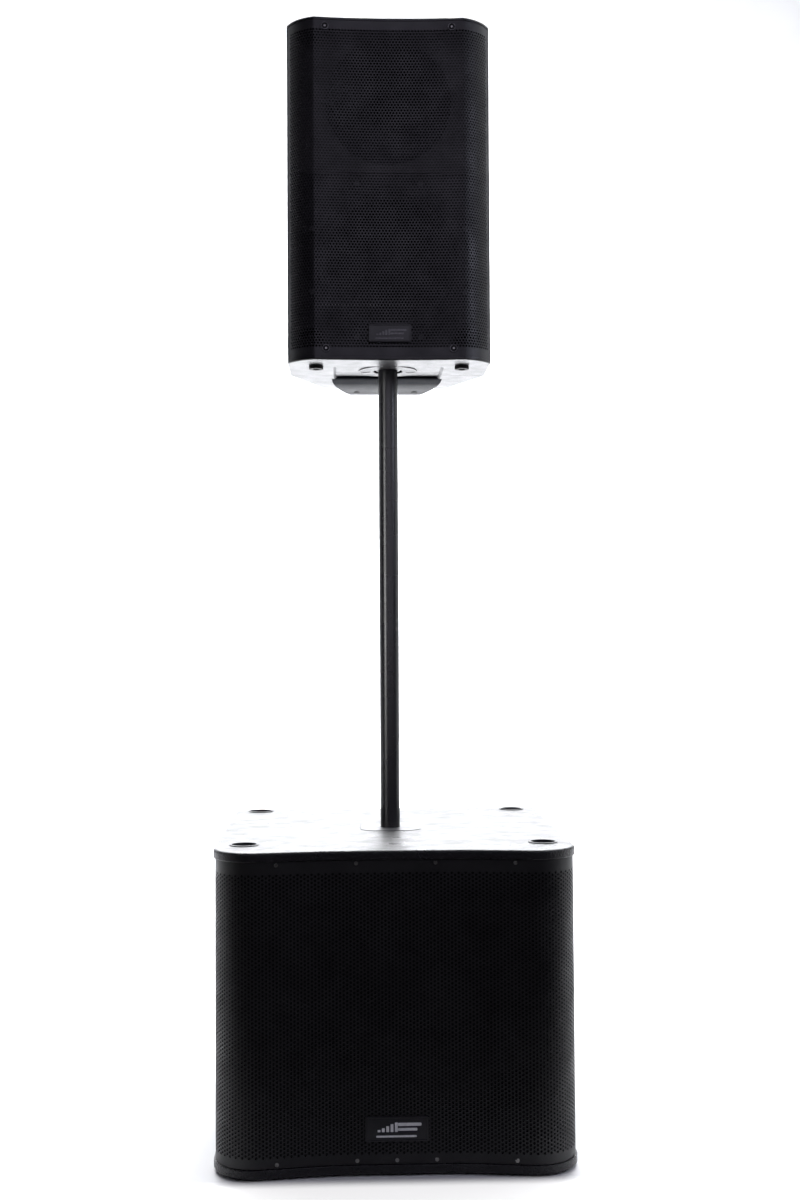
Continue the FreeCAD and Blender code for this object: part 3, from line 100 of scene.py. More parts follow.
class Tree:
    """Short calls for building a node tree."""

    def __init__(self, tree, coords):
        self.tree = tree
        self.coords = self.node("ShaderNodeTexCoord").outputs[coords]

    def node(self, kind, **props):
        node = self.tree.nodes.new(kind)
        for key, value in props.items():
            setattr(node, key, value)
        return node

    def put(self, socket, value):
        """Links an output socket, or sets a plain value."""
        if hasattr(value, "node"):
            self.tree.links.new(value, socket)
        else:
            socket.default_value = value

    def fill(self, node, values):
        for key, value in values.items():
            self.put(node.inputs[key], value)

    def mapped(self, scale=(1, 1, 1), turn=(0, 0, 0)):
        node = self.node("ShaderNodeMapping")
        self.fill(node, {"Vector": self.coords, "Scale": scale, "Rotation": turn})
        return node.outputs["Vector"]

    def noise(self, scale, detail=2.0, rough=0.5, vec=None, distortion=0.0):
        node = self.node("ShaderNodeTexNoise")
        self.fill(node, {"Vector": vec or self.coords, "Scale": scale, "Detail": detail,
                         "Roughness": rough, "Distortion": distortion})
        return node.outputs["Fac"]

    def voronoi(self, scale, feature="F1"):
        node = self.node("ShaderNodeTexVoronoi", feature=feature)
        self.fill(node, {"Vector": self.coords, "Scale": scale})
        return node.outputs["Distance"]

    def wave(self, scale, direction):
        node = self.node("ShaderNodeTexWave", bands_direction=direction)
        self.fill(node, {"Vector": self.coords, "Scale": scale, "Detail": 0.0})
        return node.outputs["Fac"]

    def ramp(self, value, low, high, to=(0.0, 1.0), smooth=False):
        """Maps low..high onto the two values of to."""
        node = self.node("ShaderNodeMapRange")
        if smooth:
            node.interpolation_type = "SMOOTHSTEP"
        self.fill(node, {"Value": value, "From Min": low, "From Max": high,
                         "To Min": to[0], "To Max": to[1]})
        return node.outputs["Result"]

    def math(self, op, a, b=0.0, c=None):
        node = self.node("ShaderNodeMath", operation=op)
        self.put(node.inputs[0], a)
        self.put(node.inputs[1], b)
        if c is not None:
            self.put(node.inputs[2], c)
        return node.outputs[0]

    def mul(self, product, *factors):
        for factor in factors:
            product = self.math("MULTIPLY", product, factor)
        return product

    def distance(self, x, z):
        squares = self.math("ADD", self.mul(x, x), self.mul(z, z))
        return self.math("SQRT", squares)

    def mix(self, fac, a, b):
        node = self.node("ShaderNodeMix", data_type="RGBA")
        self.put(node.inputs[0], fac)
        for index, color in ((6, a), (7, b)):
            self.put(node.inputs[index], color if hasattr(color, "node") else (*color, 1.0))
        return node.outputs[2]

    def bump(self, height, strength, distance, under=None):
        node = self.node("ShaderNodeBump")
        self.fill(node, {"Strength": strength, "Distance": distance, "Height": height})
        if under is not None:
            self.put(node.inputs["Normal"], under)
        return node.outputs["Normal"]

    def xyz(self):
        node = self.node("ShaderNodeSeparateXYZ")
        self.put(node.inputs[0], self.coords)
        return tuple(node.outputs)


class Material(Tree):
    def __init__(self, name):
        self.material = bpy.data.materials.new(name)
        self.material.use_nodes = True
        super().__init__(self.material.node_tree, "Object")
        self.shader = self.tree.nodes["Principled BSDF"]

    def varied(self, low, high, scale, detail=2.0):
        """A value drifting between low and high in patches."""
        return self.ramp(self.noise(scale, detail), 0.3, 0.7, to=(low, high))

    def mottled(self, base, factor, scale, detail=4.0):
        """Base colour drifting to a brighter one."""
        return self.mix(self.varied(0.0, 1.0, scale, detail), base, tinted(base, factor))

    def dust(self, color, amount, scale=9.0, tint=(0.16, 0.155, 0.15)):
        patches = self.noise(scale, detail=5.0, rough=0.65)
        return self.mix(self.ramp(patches, 0.48, 0.78, to=(0.0, amount)), color, tint)

    def worn_edges(self, color, amount, point, scale, patch, tint):
        """Faint wear where pointiness lies in point, broken up by noise within patch."""
        # faint only: on large flat panels the value runs in from the corner vertices
        pointiness = self.node("ShaderNodeNewGeometry").outputs["Pointiness"]
        worn = self.mul(self.ramp(pointiness, *point, to=(0.0, 0.04)),
                        self.ramp(self.noise(scale, detail=4.0), *patch), amount)
        return self.mix(worn, color, tint)

    def finish(self, color, rough, normal, metal=0.0, spec=0.5, sheen=0.0):
        self.fill(self.shader, {
            "Base Color": color, "Roughness": rough, "Metallic": metal,
            "Specular IOR Level": spec, "Coat Roughness": 0.2, "Sheen Weight": sheen,
            "Normal": normal})
        return self.material


# ------------------------------------------------------------------ material recipes
def textured_paint(name, base, peel, strength, rough, spec):
    """Pebbled cabinet paint: rounded drops with a finer grain on them."""
    t = Material(name)
    drops = t.mul(t.voronoi(peel, "SMOOTH_F1"), -0.9)
    lumps = t.mul(t.noise(peel * 0.9, rough=0.6), 1.1)
    normal = t.bump(t.math("ADD", drops, lumps), strength, distance=0.0011)
    normal = t.bump(t.noise(peel * 3.2, rough=0.6), strength * 0.35, distance=0.0004,
                    under=normal)
    color = t.dust(t.mottled(base, 1.35, scale=5.0), amount=0.05)
    color = t.worn_edges(color, amount=0.5, point=(0.53, 0.60), scale=70.0, patch=(0.56, 0.68),
                         tint=(0.16, 0.14, 0.12))
    roughness = t.varied(rough - 0.06, rough + 0.10, scale=30.0, detail=4.0)
    return t.finish(color, roughness, normal, spec=spec)


def moulded(name, base, grain, strength, rough, spec=0.5, edge=0.35, dust=0.06,
            inside=False, fade=None):
    """Injection-moulded plastic with a fine grain.
    inside: painted shade, near black, on the baffle behind the upper grille. fade: y span and its
    two specular levels, a painted reflection gradient."""
    t = Material(name)
    pits = t.math("ADD", t.noise(grain, detail=3.0, rough=0.6), t.mul(t.voronoi(grain * 0.7), 0.5))
    normal = t.bump(pits, strength, distance=0.00035)
    normal = t.bump(t.noise(14.0, detail=1.0), strength=0.02, distance=0.002, under=normal)
    color = t.dust(t.mottled(base, 1.3, scale=7.0), dust)
    color = t.worn_edges(color, edge, point=(0.54, 0.62), scale=120.0, patch=(0.55, 0.70),
                         tint=(0.17, 0.16, 0.155))
    roughness = t.varied(rough - 0.03, rough + 0.05, scale=40.0, detail=4.0)
    if inside:
        # painted shade: the baffle behind the upper grille is made near black and less glossy, as
        # if in the shade behind the sheet
        x, y, z = t.xyz()
        z0, z1 = TOP_Z, TOP_Z + TOP_H
        grille_shade = t.mul(t.ramp(y, -0.090, -0.084),
                       t.ramp(t.math("ABSOLUTE", x), 0.168, 0.171, to=(1.0, 0.0)),
                       t.ramp(z, (z0 + 5.5) * MM, (z0 + 7) * MM),
                       t.ramp(z, (z1 - 7) * MM, (z1 - 5.5) * MM, to=(1.0, 0.0)))
        color = t.mix(grille_shade, color, (0.0022, 0.0021, 0.0024))
        spec = t.ramp(grille_shade, 0.0, 1.0, to=(spec, 0.12))
        roughness = t.math("ADD", roughness, t.mul(grille_shade, 0.3))
    if fade:
        # painted reflection: specular level rises towards the rear, standing in for the brighter
        # reflection there
        y_span, levels = fade
        spec = t.ramp(t.xyz()[1], *y_span, to=levels, smooth=True)
    return t.finish(color, roughness, normal, spec=spec)


def powder(name, base, grain, strength, rough, spec=0.5, scratch=0.0,
           scratch_scale=(1, 1, 0.02), edge=0.5):
    """Powder-coated metal; scratches run along the axis with the small scale."""
    t = Material(name)
    normal = t.bump(t.noise(grain, detail=3.0, rough=0.55), strength, distance=0.0004)
    normal = t.bump(t.noise(60.0), strength=0.06, distance=0.002, under=normal)
    color = t.mottled(base, 1.3, scale=9.0)
    if scratch:
        lines = t.noise(420.0, detail=3.0, rough=0.7, vec=t.mapped(scratch_scale))
        lines = t.mul(t.ramp(lines, 0.66, 0.72),
                      t.ramp(t.noise(14.0, detail=3.0), 0.52, 0.66), scratch)
        color = t.mix(lines, color, (0.14, 0.14, 0.145))
    color = t.worn_edges(color, edge, point=(0.54, 0.62), scale=160.0, patch=(0.52, 0.66),
                         tint=(0.20, 0.195, 0.19))
    roughness = t.varied(rough - 0.06, rough + 0.10, scale=35.0, detail=4.0)
    return t.finish(color, roughness, normal, spec=spec)


def pole_paint(name, base, rough):
    """Smooth semi-gloss powder coat; fine marks from sliding in and out of sockets."""
    t = Material(name)
    normal = t.bump(t.noise(1900.0), strength=0.10, distance=0.0003)
    normal = t.bump(t.noise(9.0, vec=t.mapped((1, 1, 0.4))), strength=0.05, distance=0.004,
                    under=normal)
    color = t.mottled(base, 1.2, scale=6.0, detail=3.0)
    lines = t.noise(300.0, detail=3.0, rough=0.7, vec=t.mapped((1, 1, 0.03)))
    lines = t.mul(t.ramp(lines, 0.68, 0.74), t.ramp(t.noise(8.0), 0.56, 0.66), 0.25)
    color = t.mix(lines, color, (0.10, 0.10, 0.105))
    dots = t.mul(t.ramp(t.noise(210.0), 0.76, 0.79), t.ramp(t.noise(5.0), 0.50, 0.62), 0.5)
    color = t.mix(dots, color, (0.16, 0.155, 0.15))
    return t.finish(color, t.varied(rough - 0.03, rough + 0.04, scale=12.0, detail=3.0), normal)


def bare_metal(name, base, rough, stretch=(1, 1, 30), dirt=0.35):
    """Brushed metal with dirt in patches."""
    t = Material(name)
    brush = t.noise(480.0, detail=4.0, rough=0.7, vec=t.mapped(stretch))
    normal = t.bump(brush, strength=0.18, distance=0.0003)
    color = t.mix(t.ramp(brush, 0.3, 0.7), tinted(base, 0.8), base)
    soil = t.ramp(t.noise(90.0, detail=5.0, rough=0.7), 0.5, 0.7, to=(0.0, dirt))
    color = t.mix(soil, color, (0.07, 0.065, 0.06))
    roughness = t.varied(rough - 0.08, rough + 0.12, scale=200.0, detail=3.0)
    return t.finish(color, roughness, normal, metal=t.ramp(soil, 0.0, 0.4, to=(1.0, 0.6)))


def rubber(name, base=(0.022, 0.022, 0.023), rough=0.62, bloom=(0.062, 0.060, 0.058), spec=0.4):
    """Rubber with a paler bloom in patches."""
    t = Material(name)
    normal = t.bump(t.noise(900.0, detail=4.0, rough=0.6), strength=0.3, distance=0.0004)
    color = t.mix(t.ramp(t.noise(50.0, detail=5.0, rough=0.65), 0.42, 0.72), base, bloom)
    roughness = t.varied(rough - 0.08, rough + 0.1, scale=80.0, detail=3.0)
    return t.finish(color, roughness, normal, spec=spec)


def foam(name):
    t = Material(name)
    cells = t.voronoi(1400.0)
    normal = t.bump(cells, strength=0.9, distance=0.0008)
    color = t.mix(t.ramp(cells, 0.1, 0.6), (0.004, 0.004, 0.005), (0.011, 0.011, 0.012))
    color = t.dust(color, amount=0.05, scale=14.0, tint=(0.05, 0.045, 0.04))
    return t.finish(color, t.varied(0.85, 1.0, scale=60.0), normal, spec=0.1, sheen=0.1)


def cloth(name, base):
    """Woven cloth with darker patches."""
    t = Material(name)
    weave = t.mul(t.wave(700.0, "X"), t.wave(700.0, "Z"))
    normal = t.bump(weave, strength=0.5, distance=0.0006)
    color = t.mix(t.ramp(weave, 0.1, 0.8), tinted(base, 0.6), base)
    stain = t.ramp(t.noise(40.0, detail=4.0), 0.4, 0.7, to=(0.0, 0.4))
    color = t.mix(stain, color, tinted(base, 0.5))
    return t.finish(color, t.varied(0.65, 0.85, scale=200.0), normal, spec=0.3)


def pulp(name, level=1.0):
    """Pressed paper fibre; level scales colour and specular, and below 1 makes a darker copy
    painted as shade.
    """
    t = Material(name)
    fibre = t.noise(700.0, detail=6.0, rough=0.75, distortion=1.5)
    normal = t.bump(fibre, strength=0.5, distance=0.0006)
    color = t.mix(t.ramp(fibre, 0.35, 0.7), tinted((0.018, 0.018, 0.019), level),
                  tinted((0.040, 0.040, 0.041), level))
    return t.finish(color, t.ramp(fibre, 0.3, 0.7, to=(0.55, 0.8)), normal, spec=0.3 * level)


def board(name):
    """Green circuit board with a brick pattern of tracks."""
    t = Material(name)
    bricks = t.node("ShaderNodeTexBrick")
    t.fill(bricks, {"Vector": t.mapped(turn=(math.radians(90), 0, 0)), "Scale": 60.0,
                    "Mortar Size": 0.012, "Color1": (0.012, 0.060, 0.026, 1),
                    "Color2": (0.016, 0.080, 0.034, 1), "Mortar": (0.045, 0.17, 0.07, 1)})
    color = t.mix(t.ramp(t.noise(30.0), 0.45, 0.55), bricks.outputs["Color"],
                  (0.014, 0.066, 0.03))
    normal = t.bump(t.noise(500.0, detail=3.0), strength=0.2, distance=0.0004)
    return t.finish(color, t.varied(0.3, 0.5, scale=100.0), normal)


def ply(name):
    """Plywood painted flat black, grain showing faintly."""
    t = Material(name)
    grain = t.noise(30.0, detail=5.0, rough=0.65, vec=t.mapped((1, 1, 12)))
    normal = t.bump(grain, strength=0.35, distance=0.0012)
    color = t.mix(t.ramp(grain, 0.35, 0.7), (0.010, 0.010, 0.011), (0.026, 0.024, 0.023))
    return t.finish(color, t.ramp(grain, 0.3, 0.7, to=(0.6, 0.8)), normal, spec=0.3)


def perforated_paint(name, base, rough, marks=()):
    """Painted grille steel; marks are long scuffs laid out as in SCUFFS."""
    t = Material(name)
    normal = t.bump(t.noise(1300.0, detail=3.0, rough=0.55), strength=0.28, distance=0.0004)
    normal = t.bump(t.noise(12.0), strength=0.05, distance=0.003, under=normal)
    color = t.dust(t.mottled(base, 1.25, scale=8.0), amount=0.03, scale=11.0)
    worn = t.mul(t.ramp(t.noise(240.0, detail=5.0, rough=0.7), 0.68, 0.74),
                 t.ramp(t.noise(6.0, detail=3.0), 0.50, 0.62), 0.35)
    color = t.mix(worn, color, (0.11, 0.105, 0.10))
    if marks:
        x, y, z = t.xyz()
        for x0, x1, z0, slope, half_width, amount in marks:
            line = t.math("SUBTRACT", t.math("SUBTRACT", z, t.mul(x, slope)), z0)
            line = t.math("ABSOLUTE", line)
            breaks = t.noise(90.0, detail=3.0, vec=t.mapped((1, 0.1, 0.1)))
            scuff = t.mul(t.ramp(line, half_width * 0.3, half_width, to=(1.0, 0.0)),
                          t.ramp(x, x0 - 0.004, x0 + 0.004),
                          t.ramp(x, x1 - 0.004, x1 + 0.004, to=(1.0, 0.0)),
                          t.ramp(breaks, 0.34, 0.62), amount)
            color = t.mix(scuff, color, (0.30, 0.28, 0.27))
    roughness = t.varied(rough - 0.06, rough + 0.10, scale=24.0, detail=4.0)
    return t.finish(color, roughness, normal)


def grille_screw(name):
    """Black cup washer: near black inside, painted shade in the dimple; a lighter outer ring; a
    painted highlight in the middle of the screw head.
    """
    screw_x, low_z, rise = 110.5, TOP_Z + 20.0, TOP_H - 36.5
    t = Material(name)
    x, y, z = t.xyz()
    dx = t.math("SUBTRACT", t.math("ABSOLUTE", x), screw_x * MM)
    upper = t.math("GREATER_THAN", z, (TOP_Z + TOP_H / 2) * MM)
    screw_z = t.math("ADD", t.mul(upper, rise * MM), low_z * MM)
    radius = t.distance(dx, t.math("SUBTRACT", z, screw_z))
    rim = t.mul(t.ramp(radius, 0.0050, 0.0053),
                t.ramp(t.noise(260.0, detail=3.0), 0.35, 0.6, to=(0.35, 1.0)))
    # painted highlight: a bright disc in the middle of the screw head
    head_highlight = t.ramp(radius, 0.0016, 0.0021, to=(1.0, 0.0))
    # near black inside the ring is painted shade in the dimple
    color = t.mix(rim, (0.0020, 0.0020, 0.0024), (0.120, 0.116, 0.130))
    color = t.mix(head_highlight, color, (0.42, 0.41, 0.41))
    normal = t.bump(t.noise(1500.0), strength=0.15, distance=0.0002)
    return t.finish(color, t.varied(0.28, 0.40, scale=400.0), normal, metal=t.mul(head_highlight, 0.6),
                    spec=t.ramp(rim, 0.0, 1.0, to=(0.12, 0.5)))


def driver_steel(name, y_face):
    """Dull steel with painted shade: near black towards the front face and close to the axis."""
    t = Material(name)
    brush = t.noise(480.0, detail=4.0, rough=0.7, vec=t.mapped((1, 20, 1)))
    normal = t.bump(brush, strength=0.18, distance=0.0003)
    x, y, z = t.xyz()
    radius = t.distance(x, t.math("SUBTRACT", z, HORN_Z * MM))
    # painted shade: near black and barely glossy towards the front face and round the horn axis
    black = t.math("MAXIMUM", t.ramp(y, y_face + 0.004, y_face + 0.006, to=(1.0, 0.0)),
                   t.ramp(radius, 0.026, 0.028, to=(1.0, 0.0)))
    color = t.mix(t.ramp(brush, 0.3, 0.7), (0.20, 0.20, 0.21), (0.26, 0.26, 0.27))
    color = t.mix(black, color, (0.002, 0.002, 0.002))
    return t.finish(color, t.ramp(brush, 0.3, 0.7, to=(0.36, 0.5)), normal,
                    metal=t.ramp(black, 0.0, 1.0, to=(1.0, 0.0)),
                    spec=t.ramp(black, 0.0, 1.0, to=(0.5, 0.05)))


def ink(name, base, rough=0.4):
    """Printed or inlaid colour, slightly rubbed."""
    t = Material(name)
    rubbed = t.ramp(t.noise(160.0, detail=5.0, rough=0.7), 0.40, 0.72)
    color = t.mix(rubbed, base, tinted(base, 0.72))
    normal = t.bump(t.noise(1200.0), strength=0.1, distance=0.0002)
    return t.finish(color, t.varied(rough - 0.08, rough + 0.08, scale=300.0), normal)


# ------------------------------------------------------------------ material table
# name: recipe and its values
RECIPES = {
    "cabinet_paint": (textured_paint, dict(base=(0.0085, 0.0080, 0.0098), peel=400.0,
                                           strength=0.75, rough=0.30, spec=0.42)),
    "birch_ply": (ply, {}),
    "grille_foam": (foam, {}),
    "zinc_screw": (bare_metal, dict(base=(0.34, 0.33, 0.32), rough=0.34, dirt=0.7)),
    "black_screw": (powder, dict(base=(0.016, 0.016, 0.018), grain=1600, strength=0.2,
                                 rough=0.30, edge=0.9)),
    "badge_plastic": (moulded, dict(base=(0.0110, 0.0104, 0.0130), grain=2200, strength=0.12,
                                    rough=0.34)),
    "foot_rubber": (rubber, {}),
    "cup_plastic": (moulded, dict(base=(0.012, 0.0115, 0.014), grain=1300, strength=0.3,
                                  rough=0.36)),
    # amp_cowl: specular level rising towards the rear of the underside is a painted reflection
    # gradient
    "cowl_plastic": (moulded, dict(base=(0.0125, 0.0135, 0.0170), grain=1100, strength=0.45,
                                   rough=0.60, dust=0.02, edge=0.2,
                                   fade=((0.092, 0.178), (0.010, 0.42)))),
    "socket_metal": (powder, dict(base=(0.060, 0.060, 0.066), grain=1400, strength=0.15,
                                  rough=0.34, scratch=0.5, scratch_scale=(0.05, 1, 1))),
    "basket_metal": (powder, dict(base=(0.018, 0.018, 0.020), grain=900, strength=0.2,
                                  rough=0.42)),
    "motor_steel": (bare_metal, dict(base=(0.26, 0.26, 0.27), rough=0.42, stretch=(1, 20, 1))),
    "surround_foam": (rubber, dict(base=(0.0070, 0.0070, 0.0080), rough=0.50,
                                   bloom=(0.013, 0.013, 0.014), spec=0.22)),
    "spider_cloth": (cloth, dict(base=(0.36, 0.22, 0.09))),
    "paper_cone": (pulp, {}),
    "coil_alloy": (bare_metal, dict(base=(0.62, 0.34, 0.16), rough=0.30, stretch=(1, 60, 1))),
    "panel_metal": (powder, dict(base=(0.013, 0.013, 0.015), grain=1300, strength=0.25,
                                 rough=0.38)),
    "heat_sink_alloy": (powder, dict(base=(0.014, 0.014, 0.016), grain=700, strength=0.12,
                                     rough=0.36, scratch=0.4)),
    "circuit_board": (board, {}),
    "connector_plastic": (moulded, dict(base=(0.011, 0.011, 0.012), grain=2400, strength=0.10,
                                        rough=0.26)),
    "knob_plastic": (moulded, dict(base=(0.020, 0.020, 0.022), grain=2000, strength=0.2,
                                   rough=0.50)),
    "switch_plastic": (moulded, dict(base=(0.014, 0.014, 0.015), grain=2400, strength=0.12,
                                     rough=0.30)),
    "pole_steel": (pole_paint, dict(base=(0.0105, 0.0100, 0.0120), rough=0.27)),
    "stud_steel": (bare_metal, dict(base=(0.48, 0.47, 0.46), rough=0.30)),
    "cap_plastic": (moulded, dict(base=(0.014, 0.014, 0.015), grain=1800, strength=0.2,
                                  rough=0.44)),
    # shell_plastic carries painted shade, near black, behind the upper grille
    "shell_plastic": (moulded, dict(base=(0.0110, 0.0104, 0.0132), grain=1250, strength=0.30,
                                    rough=0.33, edge=0.7, dust=0.03, inside=True)),
    "horn_plastic": (moulded, dict(base=(0.0050, 0.0048, 0.0056), grain=2400, strength=0.08,
                                   rough=0.34, spec=0.35, dust=0.01, edge=0.0)),
    "insert_steel": (bare_metal, dict(base=(0.46, 0.45, 0.44), rough=0.34)),
    "handle_alloy": (powder, dict(base=(0.015, 0.015, 0.017), grain=1500, strength=0.18,
                                  rough=0.32, scratch=0.3, edge=0.9)),
}
MAT = {name: recipe(name, **values) for name, (recipe, values) in RECIPES.items()}

# Scuffs on the upper grille, metres: x start, x end, height at x = 0, slope, half width, amount
SCUFFS = [
    (-0.118, 0.052, 1.4395, 0.002, 0.0008, 0.75),
    (0.070, 0.086, 1.4392, 0.0, 0.0007, 0.4),
    (0.146, 0.172, 1.4350, -0.12, 0.0009, 0.7),
    (-0.165, -0.140, 1.4020, 0.0, 0.0008, 0.35),
    (0.135, 0.150, 1.4640, -0.10, 0.0008, 0.35),
    (-0.010, 0.004, 1.4460, 0.6, 0.0008, 0.35),
]
GRILLE_TOP = perforated_paint("grille_steel_top", base=(0.0150, 0.0138, 0.0180), rough=0.42,
                              marks=SCUFFS)
GRILLE_SUB = perforated_paint("grille_steel_sub", base=(0.0085, 0.0080, 0.0090), rough=0.46)


# ------------------------------------------------------------------ painting the CAD pieces
def shade(mesh, angle):
    """Smooth shading with edges sharper than angle (degrees) kept crisp."""
    mesh.shade_smooth()
    mesh.set_sharp_from_angle(angle=math.radians(angle))


def paint(obj, mat):
    obj.data.materials.clear()
    obj.data.materials.append(mat)
    for face in obj.data.polygons:
        face.material_index = 0


for row in frame["record"]["subparts"]:
    piece = NODES[row["node"]]
    slot = "cowl_plastic" if row["node"] == "amp_cowl" else row["material_slot"]
    paint(piece, MAT.get(slot, GRILLE_SUB))
    shade(piece.data, 32)

# Pieces of the upper cabinet with looks of their own; the basket and cone are darker copies,
# painted shade behind the grille
paint(NODES["top_grille_screws"], grille_screw("top_grille_screw"))
# darker copy of basket_metal: painted shade behind the upper grille
paint(NODES["top_woofer_basket"],
      powder("top_basket_metal_shaded", base=(0.0045, 0.0045, 0.0050), grain=900, strength=0.2,
             rough=0.55, spec=0.12, edge=0.0))
# darker copy of paper_cone: painted shade behind the upper grille
paint(NODES["top_woofer_cone"], pulp("top_paper_cone_shaded", level=0.30))
paint(NODES["compression_driver"],
      driver_steel("driver_steel", y_face=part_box("compression_driver")[0].y))


# ------------------------------------------------------------------ mesh helpers
def mesh_object(name, verts, faces, mat, smooth, fix_normals=False, weld=False):
    """New object from points in millimetres; smooth 0 leaves it flat-shaded."""
    mesh = bpy.data.meshes.new(name)
    mesh.from_pydata((np.array(verts) * MM).tolist(), [], faces)
    mesh.validate()
    mesh.update()
    obj = bpy.data.objects.new(name, mesh)
    SCENE.collection.objects.link(obj)
    mesh.materials.append(mat)
    if fix_normals:
        bm = bmesh.new()
        bm.from_mesh(mesh)
        if weld:
            bmesh.ops.remove_doubles(bm, verts=bm.verts, dist=1e-6)
        bmesh.ops.recalc_face_normals(bm, faces=bm.faces)
        bm.to_mesh(mesh)
        bm.free()
    if smooth:
        shade(mesh, smooth)
    return obj


def attach(obj, body, replaced=None):
    """Fixes a piece to a body, in place of a CAD piece if one is given."""
    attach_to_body(obj, body)
    if replaced:
        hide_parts(replaced)


def loft_faces(rings, sides):
    """Skin over stacked rings, capped at both ends."""
    faces = []
    for j in range(rings - 1):
        low, high = j * sides, (j + 1) * sides
        for k in range(sides):
            k2 = (k + 1) % sides
            faces.append((low + k, low + k2, high + k2, high + k))
    faces.append(tuple(range(sides - 1, -1, -1)))
    faces.append(tuple((rings - 1) * sides + k for k in range(sides)))
    return faces


# ------------------------------------------------------------------ plan curves
def circle_through(a, b, c):
    """Centre x, centre y and radius."""
    (ax, ay), (bx, by), (cx, cy) = a, b, c
    a2, b2, c2 = ax**2 + ay**2, bx**2 + by**2, cx**2 + cy**2
    d = 2 * (ax * (by - cy) + bx * (cy - ay) + cx * (ay - by))
    x = (a2 * (by - cy) + b2 * (cy - ay) + c2 * (ay - by)) / d
    y = (a2 * (cx - bx) + b2 * (ax - cx) + c2 * (bx - ax)) / d
    return x, y, math.hypot(ax - x, ay - y)


def arc_points(start, mid, end, steps):
    """Points along the circle through start, mid and end."""
    x, y, radius = circle_through(start, mid, end)
    a0, a_mid, a1 = (math.atan2(p[1] - y, p[0] - x) for p in (start, mid, end))
    a_mid = a0 + math.remainder(a_mid - a0, 2 * math.pi)
    a1 = a_mid + math.remainder(a1 - a_mid, 2 * math.pi)
    angles = [a0 + (a1 - a0) * k / steps for k in range(steps + 1)]
    return [(x + radius * math.cos(a), y + radius * math.sin(a)) for a in angles]


class PlanCurve:
    """A curve in plan walked by arc length from left to right; its normals point inwards."""

    def __init__(self, pieces):
        """pieces: point lists; pieces may meet in a crease, so each has its own normals."""
        points, normals, stations = [], [], []
        start = 0.0
        for piece in pieces:
            piece = np.array(piece, float)
            lengths = np.hypot(*np.diff(piece, axis=0).T)
            piece = piece[np.concatenate([[True], lengths > 1e-9])]
            steps = np.diff(piece, axis=0)
            lengths = np.hypot(*steps.T)
            steps /= lengths[:, None]
            tangents = np.vstack([steps[:1], (steps[:-1] + steps[1:]) / 2, steps[-1:]])
            tangents /= np.hypot(*tangents.T)[:, None]
            points.append(piece)
            normals.append(np.stack([-tangents[:, 1], tangents[:, 0]], 1))
            stations.append(start + np.concatenate([[0], np.cumsum(lengths)]))
            start = stations[-1][-1] + 1e-6
        self.points = np.vstack(points)
        self.normals = np.vstack(normals)
        self.stations = np.concatenate(stations)
        self.length = start

    def at(self, s, depth):
        """x and y at arc length s, moved inwards by depth."""
        x, y = (np.interp(s, self.stations, column) for column in self.points.T)
        nx, ny = (np.interp(s, self.stations, column) for column in self.normals.T)
        size = np.hypot(nx, ny)
        return x + nx / size * depth, y + ny / size * depth


def round_corners(corners):
    """Points of an open line of (x, y, radius) with each inner corner rounded."""
    out = [corners[0][:2]]
    for before, corner, after in zip(corners, corners[1:], corners[2:]):
        here, radius = corner[:2], corner[2]
        back, ahead = before[:2] - here, after[:2] - here
        back /= np.hypot(*back)
        ahead /= np.hypot(*ahead)
        half_angle = math.acos(back @ ahead) / 2
        reach = radius / math.tan(half_angle)
        middle = (back + ahead) / np.hypot(*(back + ahead))
        mid = here + middle * (radius / math.sin(half_angle) - radius)
        out += arc_points(here + back * reach, mid, here + ahead * reach, steps=40)
    out.append(corners[-1][:2])
    return out


def cross(a, b):
    return a[0] * b[1] - a[1] * b[0]


def inset(corners, depth):
    """The open line of (x, y, radius) moved inwards by depth."""
    xy = corners[:, :2]
    along = np.diff(xy, axis=0)
    along /= np.hypot(*along.T)[:, None]
    shift = depth * np.stack([-along[:, 1], along[:, 0]], 1)
    out = [(*(xy[0] + shift[0]), 0.0)]
    for k in range(1, len(along)):
        start = xy[k - 1] + shift[k - 1]
        turn = cross(along[k - 1], along[k])
        travel = cross(xy[k] + shift[k] - start, along[k]) / turn
        radius = corners[k, 2] - math.copysign(depth, turn)
        out.append((*(start + travel * along[k - 1]), radius))
    out.append((*(xy[-1] + shift[-1]), 0.0))
    return np.array(out)


def sub_curve(y_end):
    """Front and flanks of the subwoofer at the depth of its grille."""
    left = [(-SUB_HALF_W, y_end, 0), (-SUB_HALF_W, SUB_CORNER_Y, SUB_CORNER_R),
            (-SUB_MID_HALF, SUB_MID_Y, SUB_BEND_R)]
    right = [(-x, y, radius) for x, y, radius in left[::-1]]
    return PlanCurve([round_corners(inset(np.array(left + right), SUB_GRILLE_INSET))])


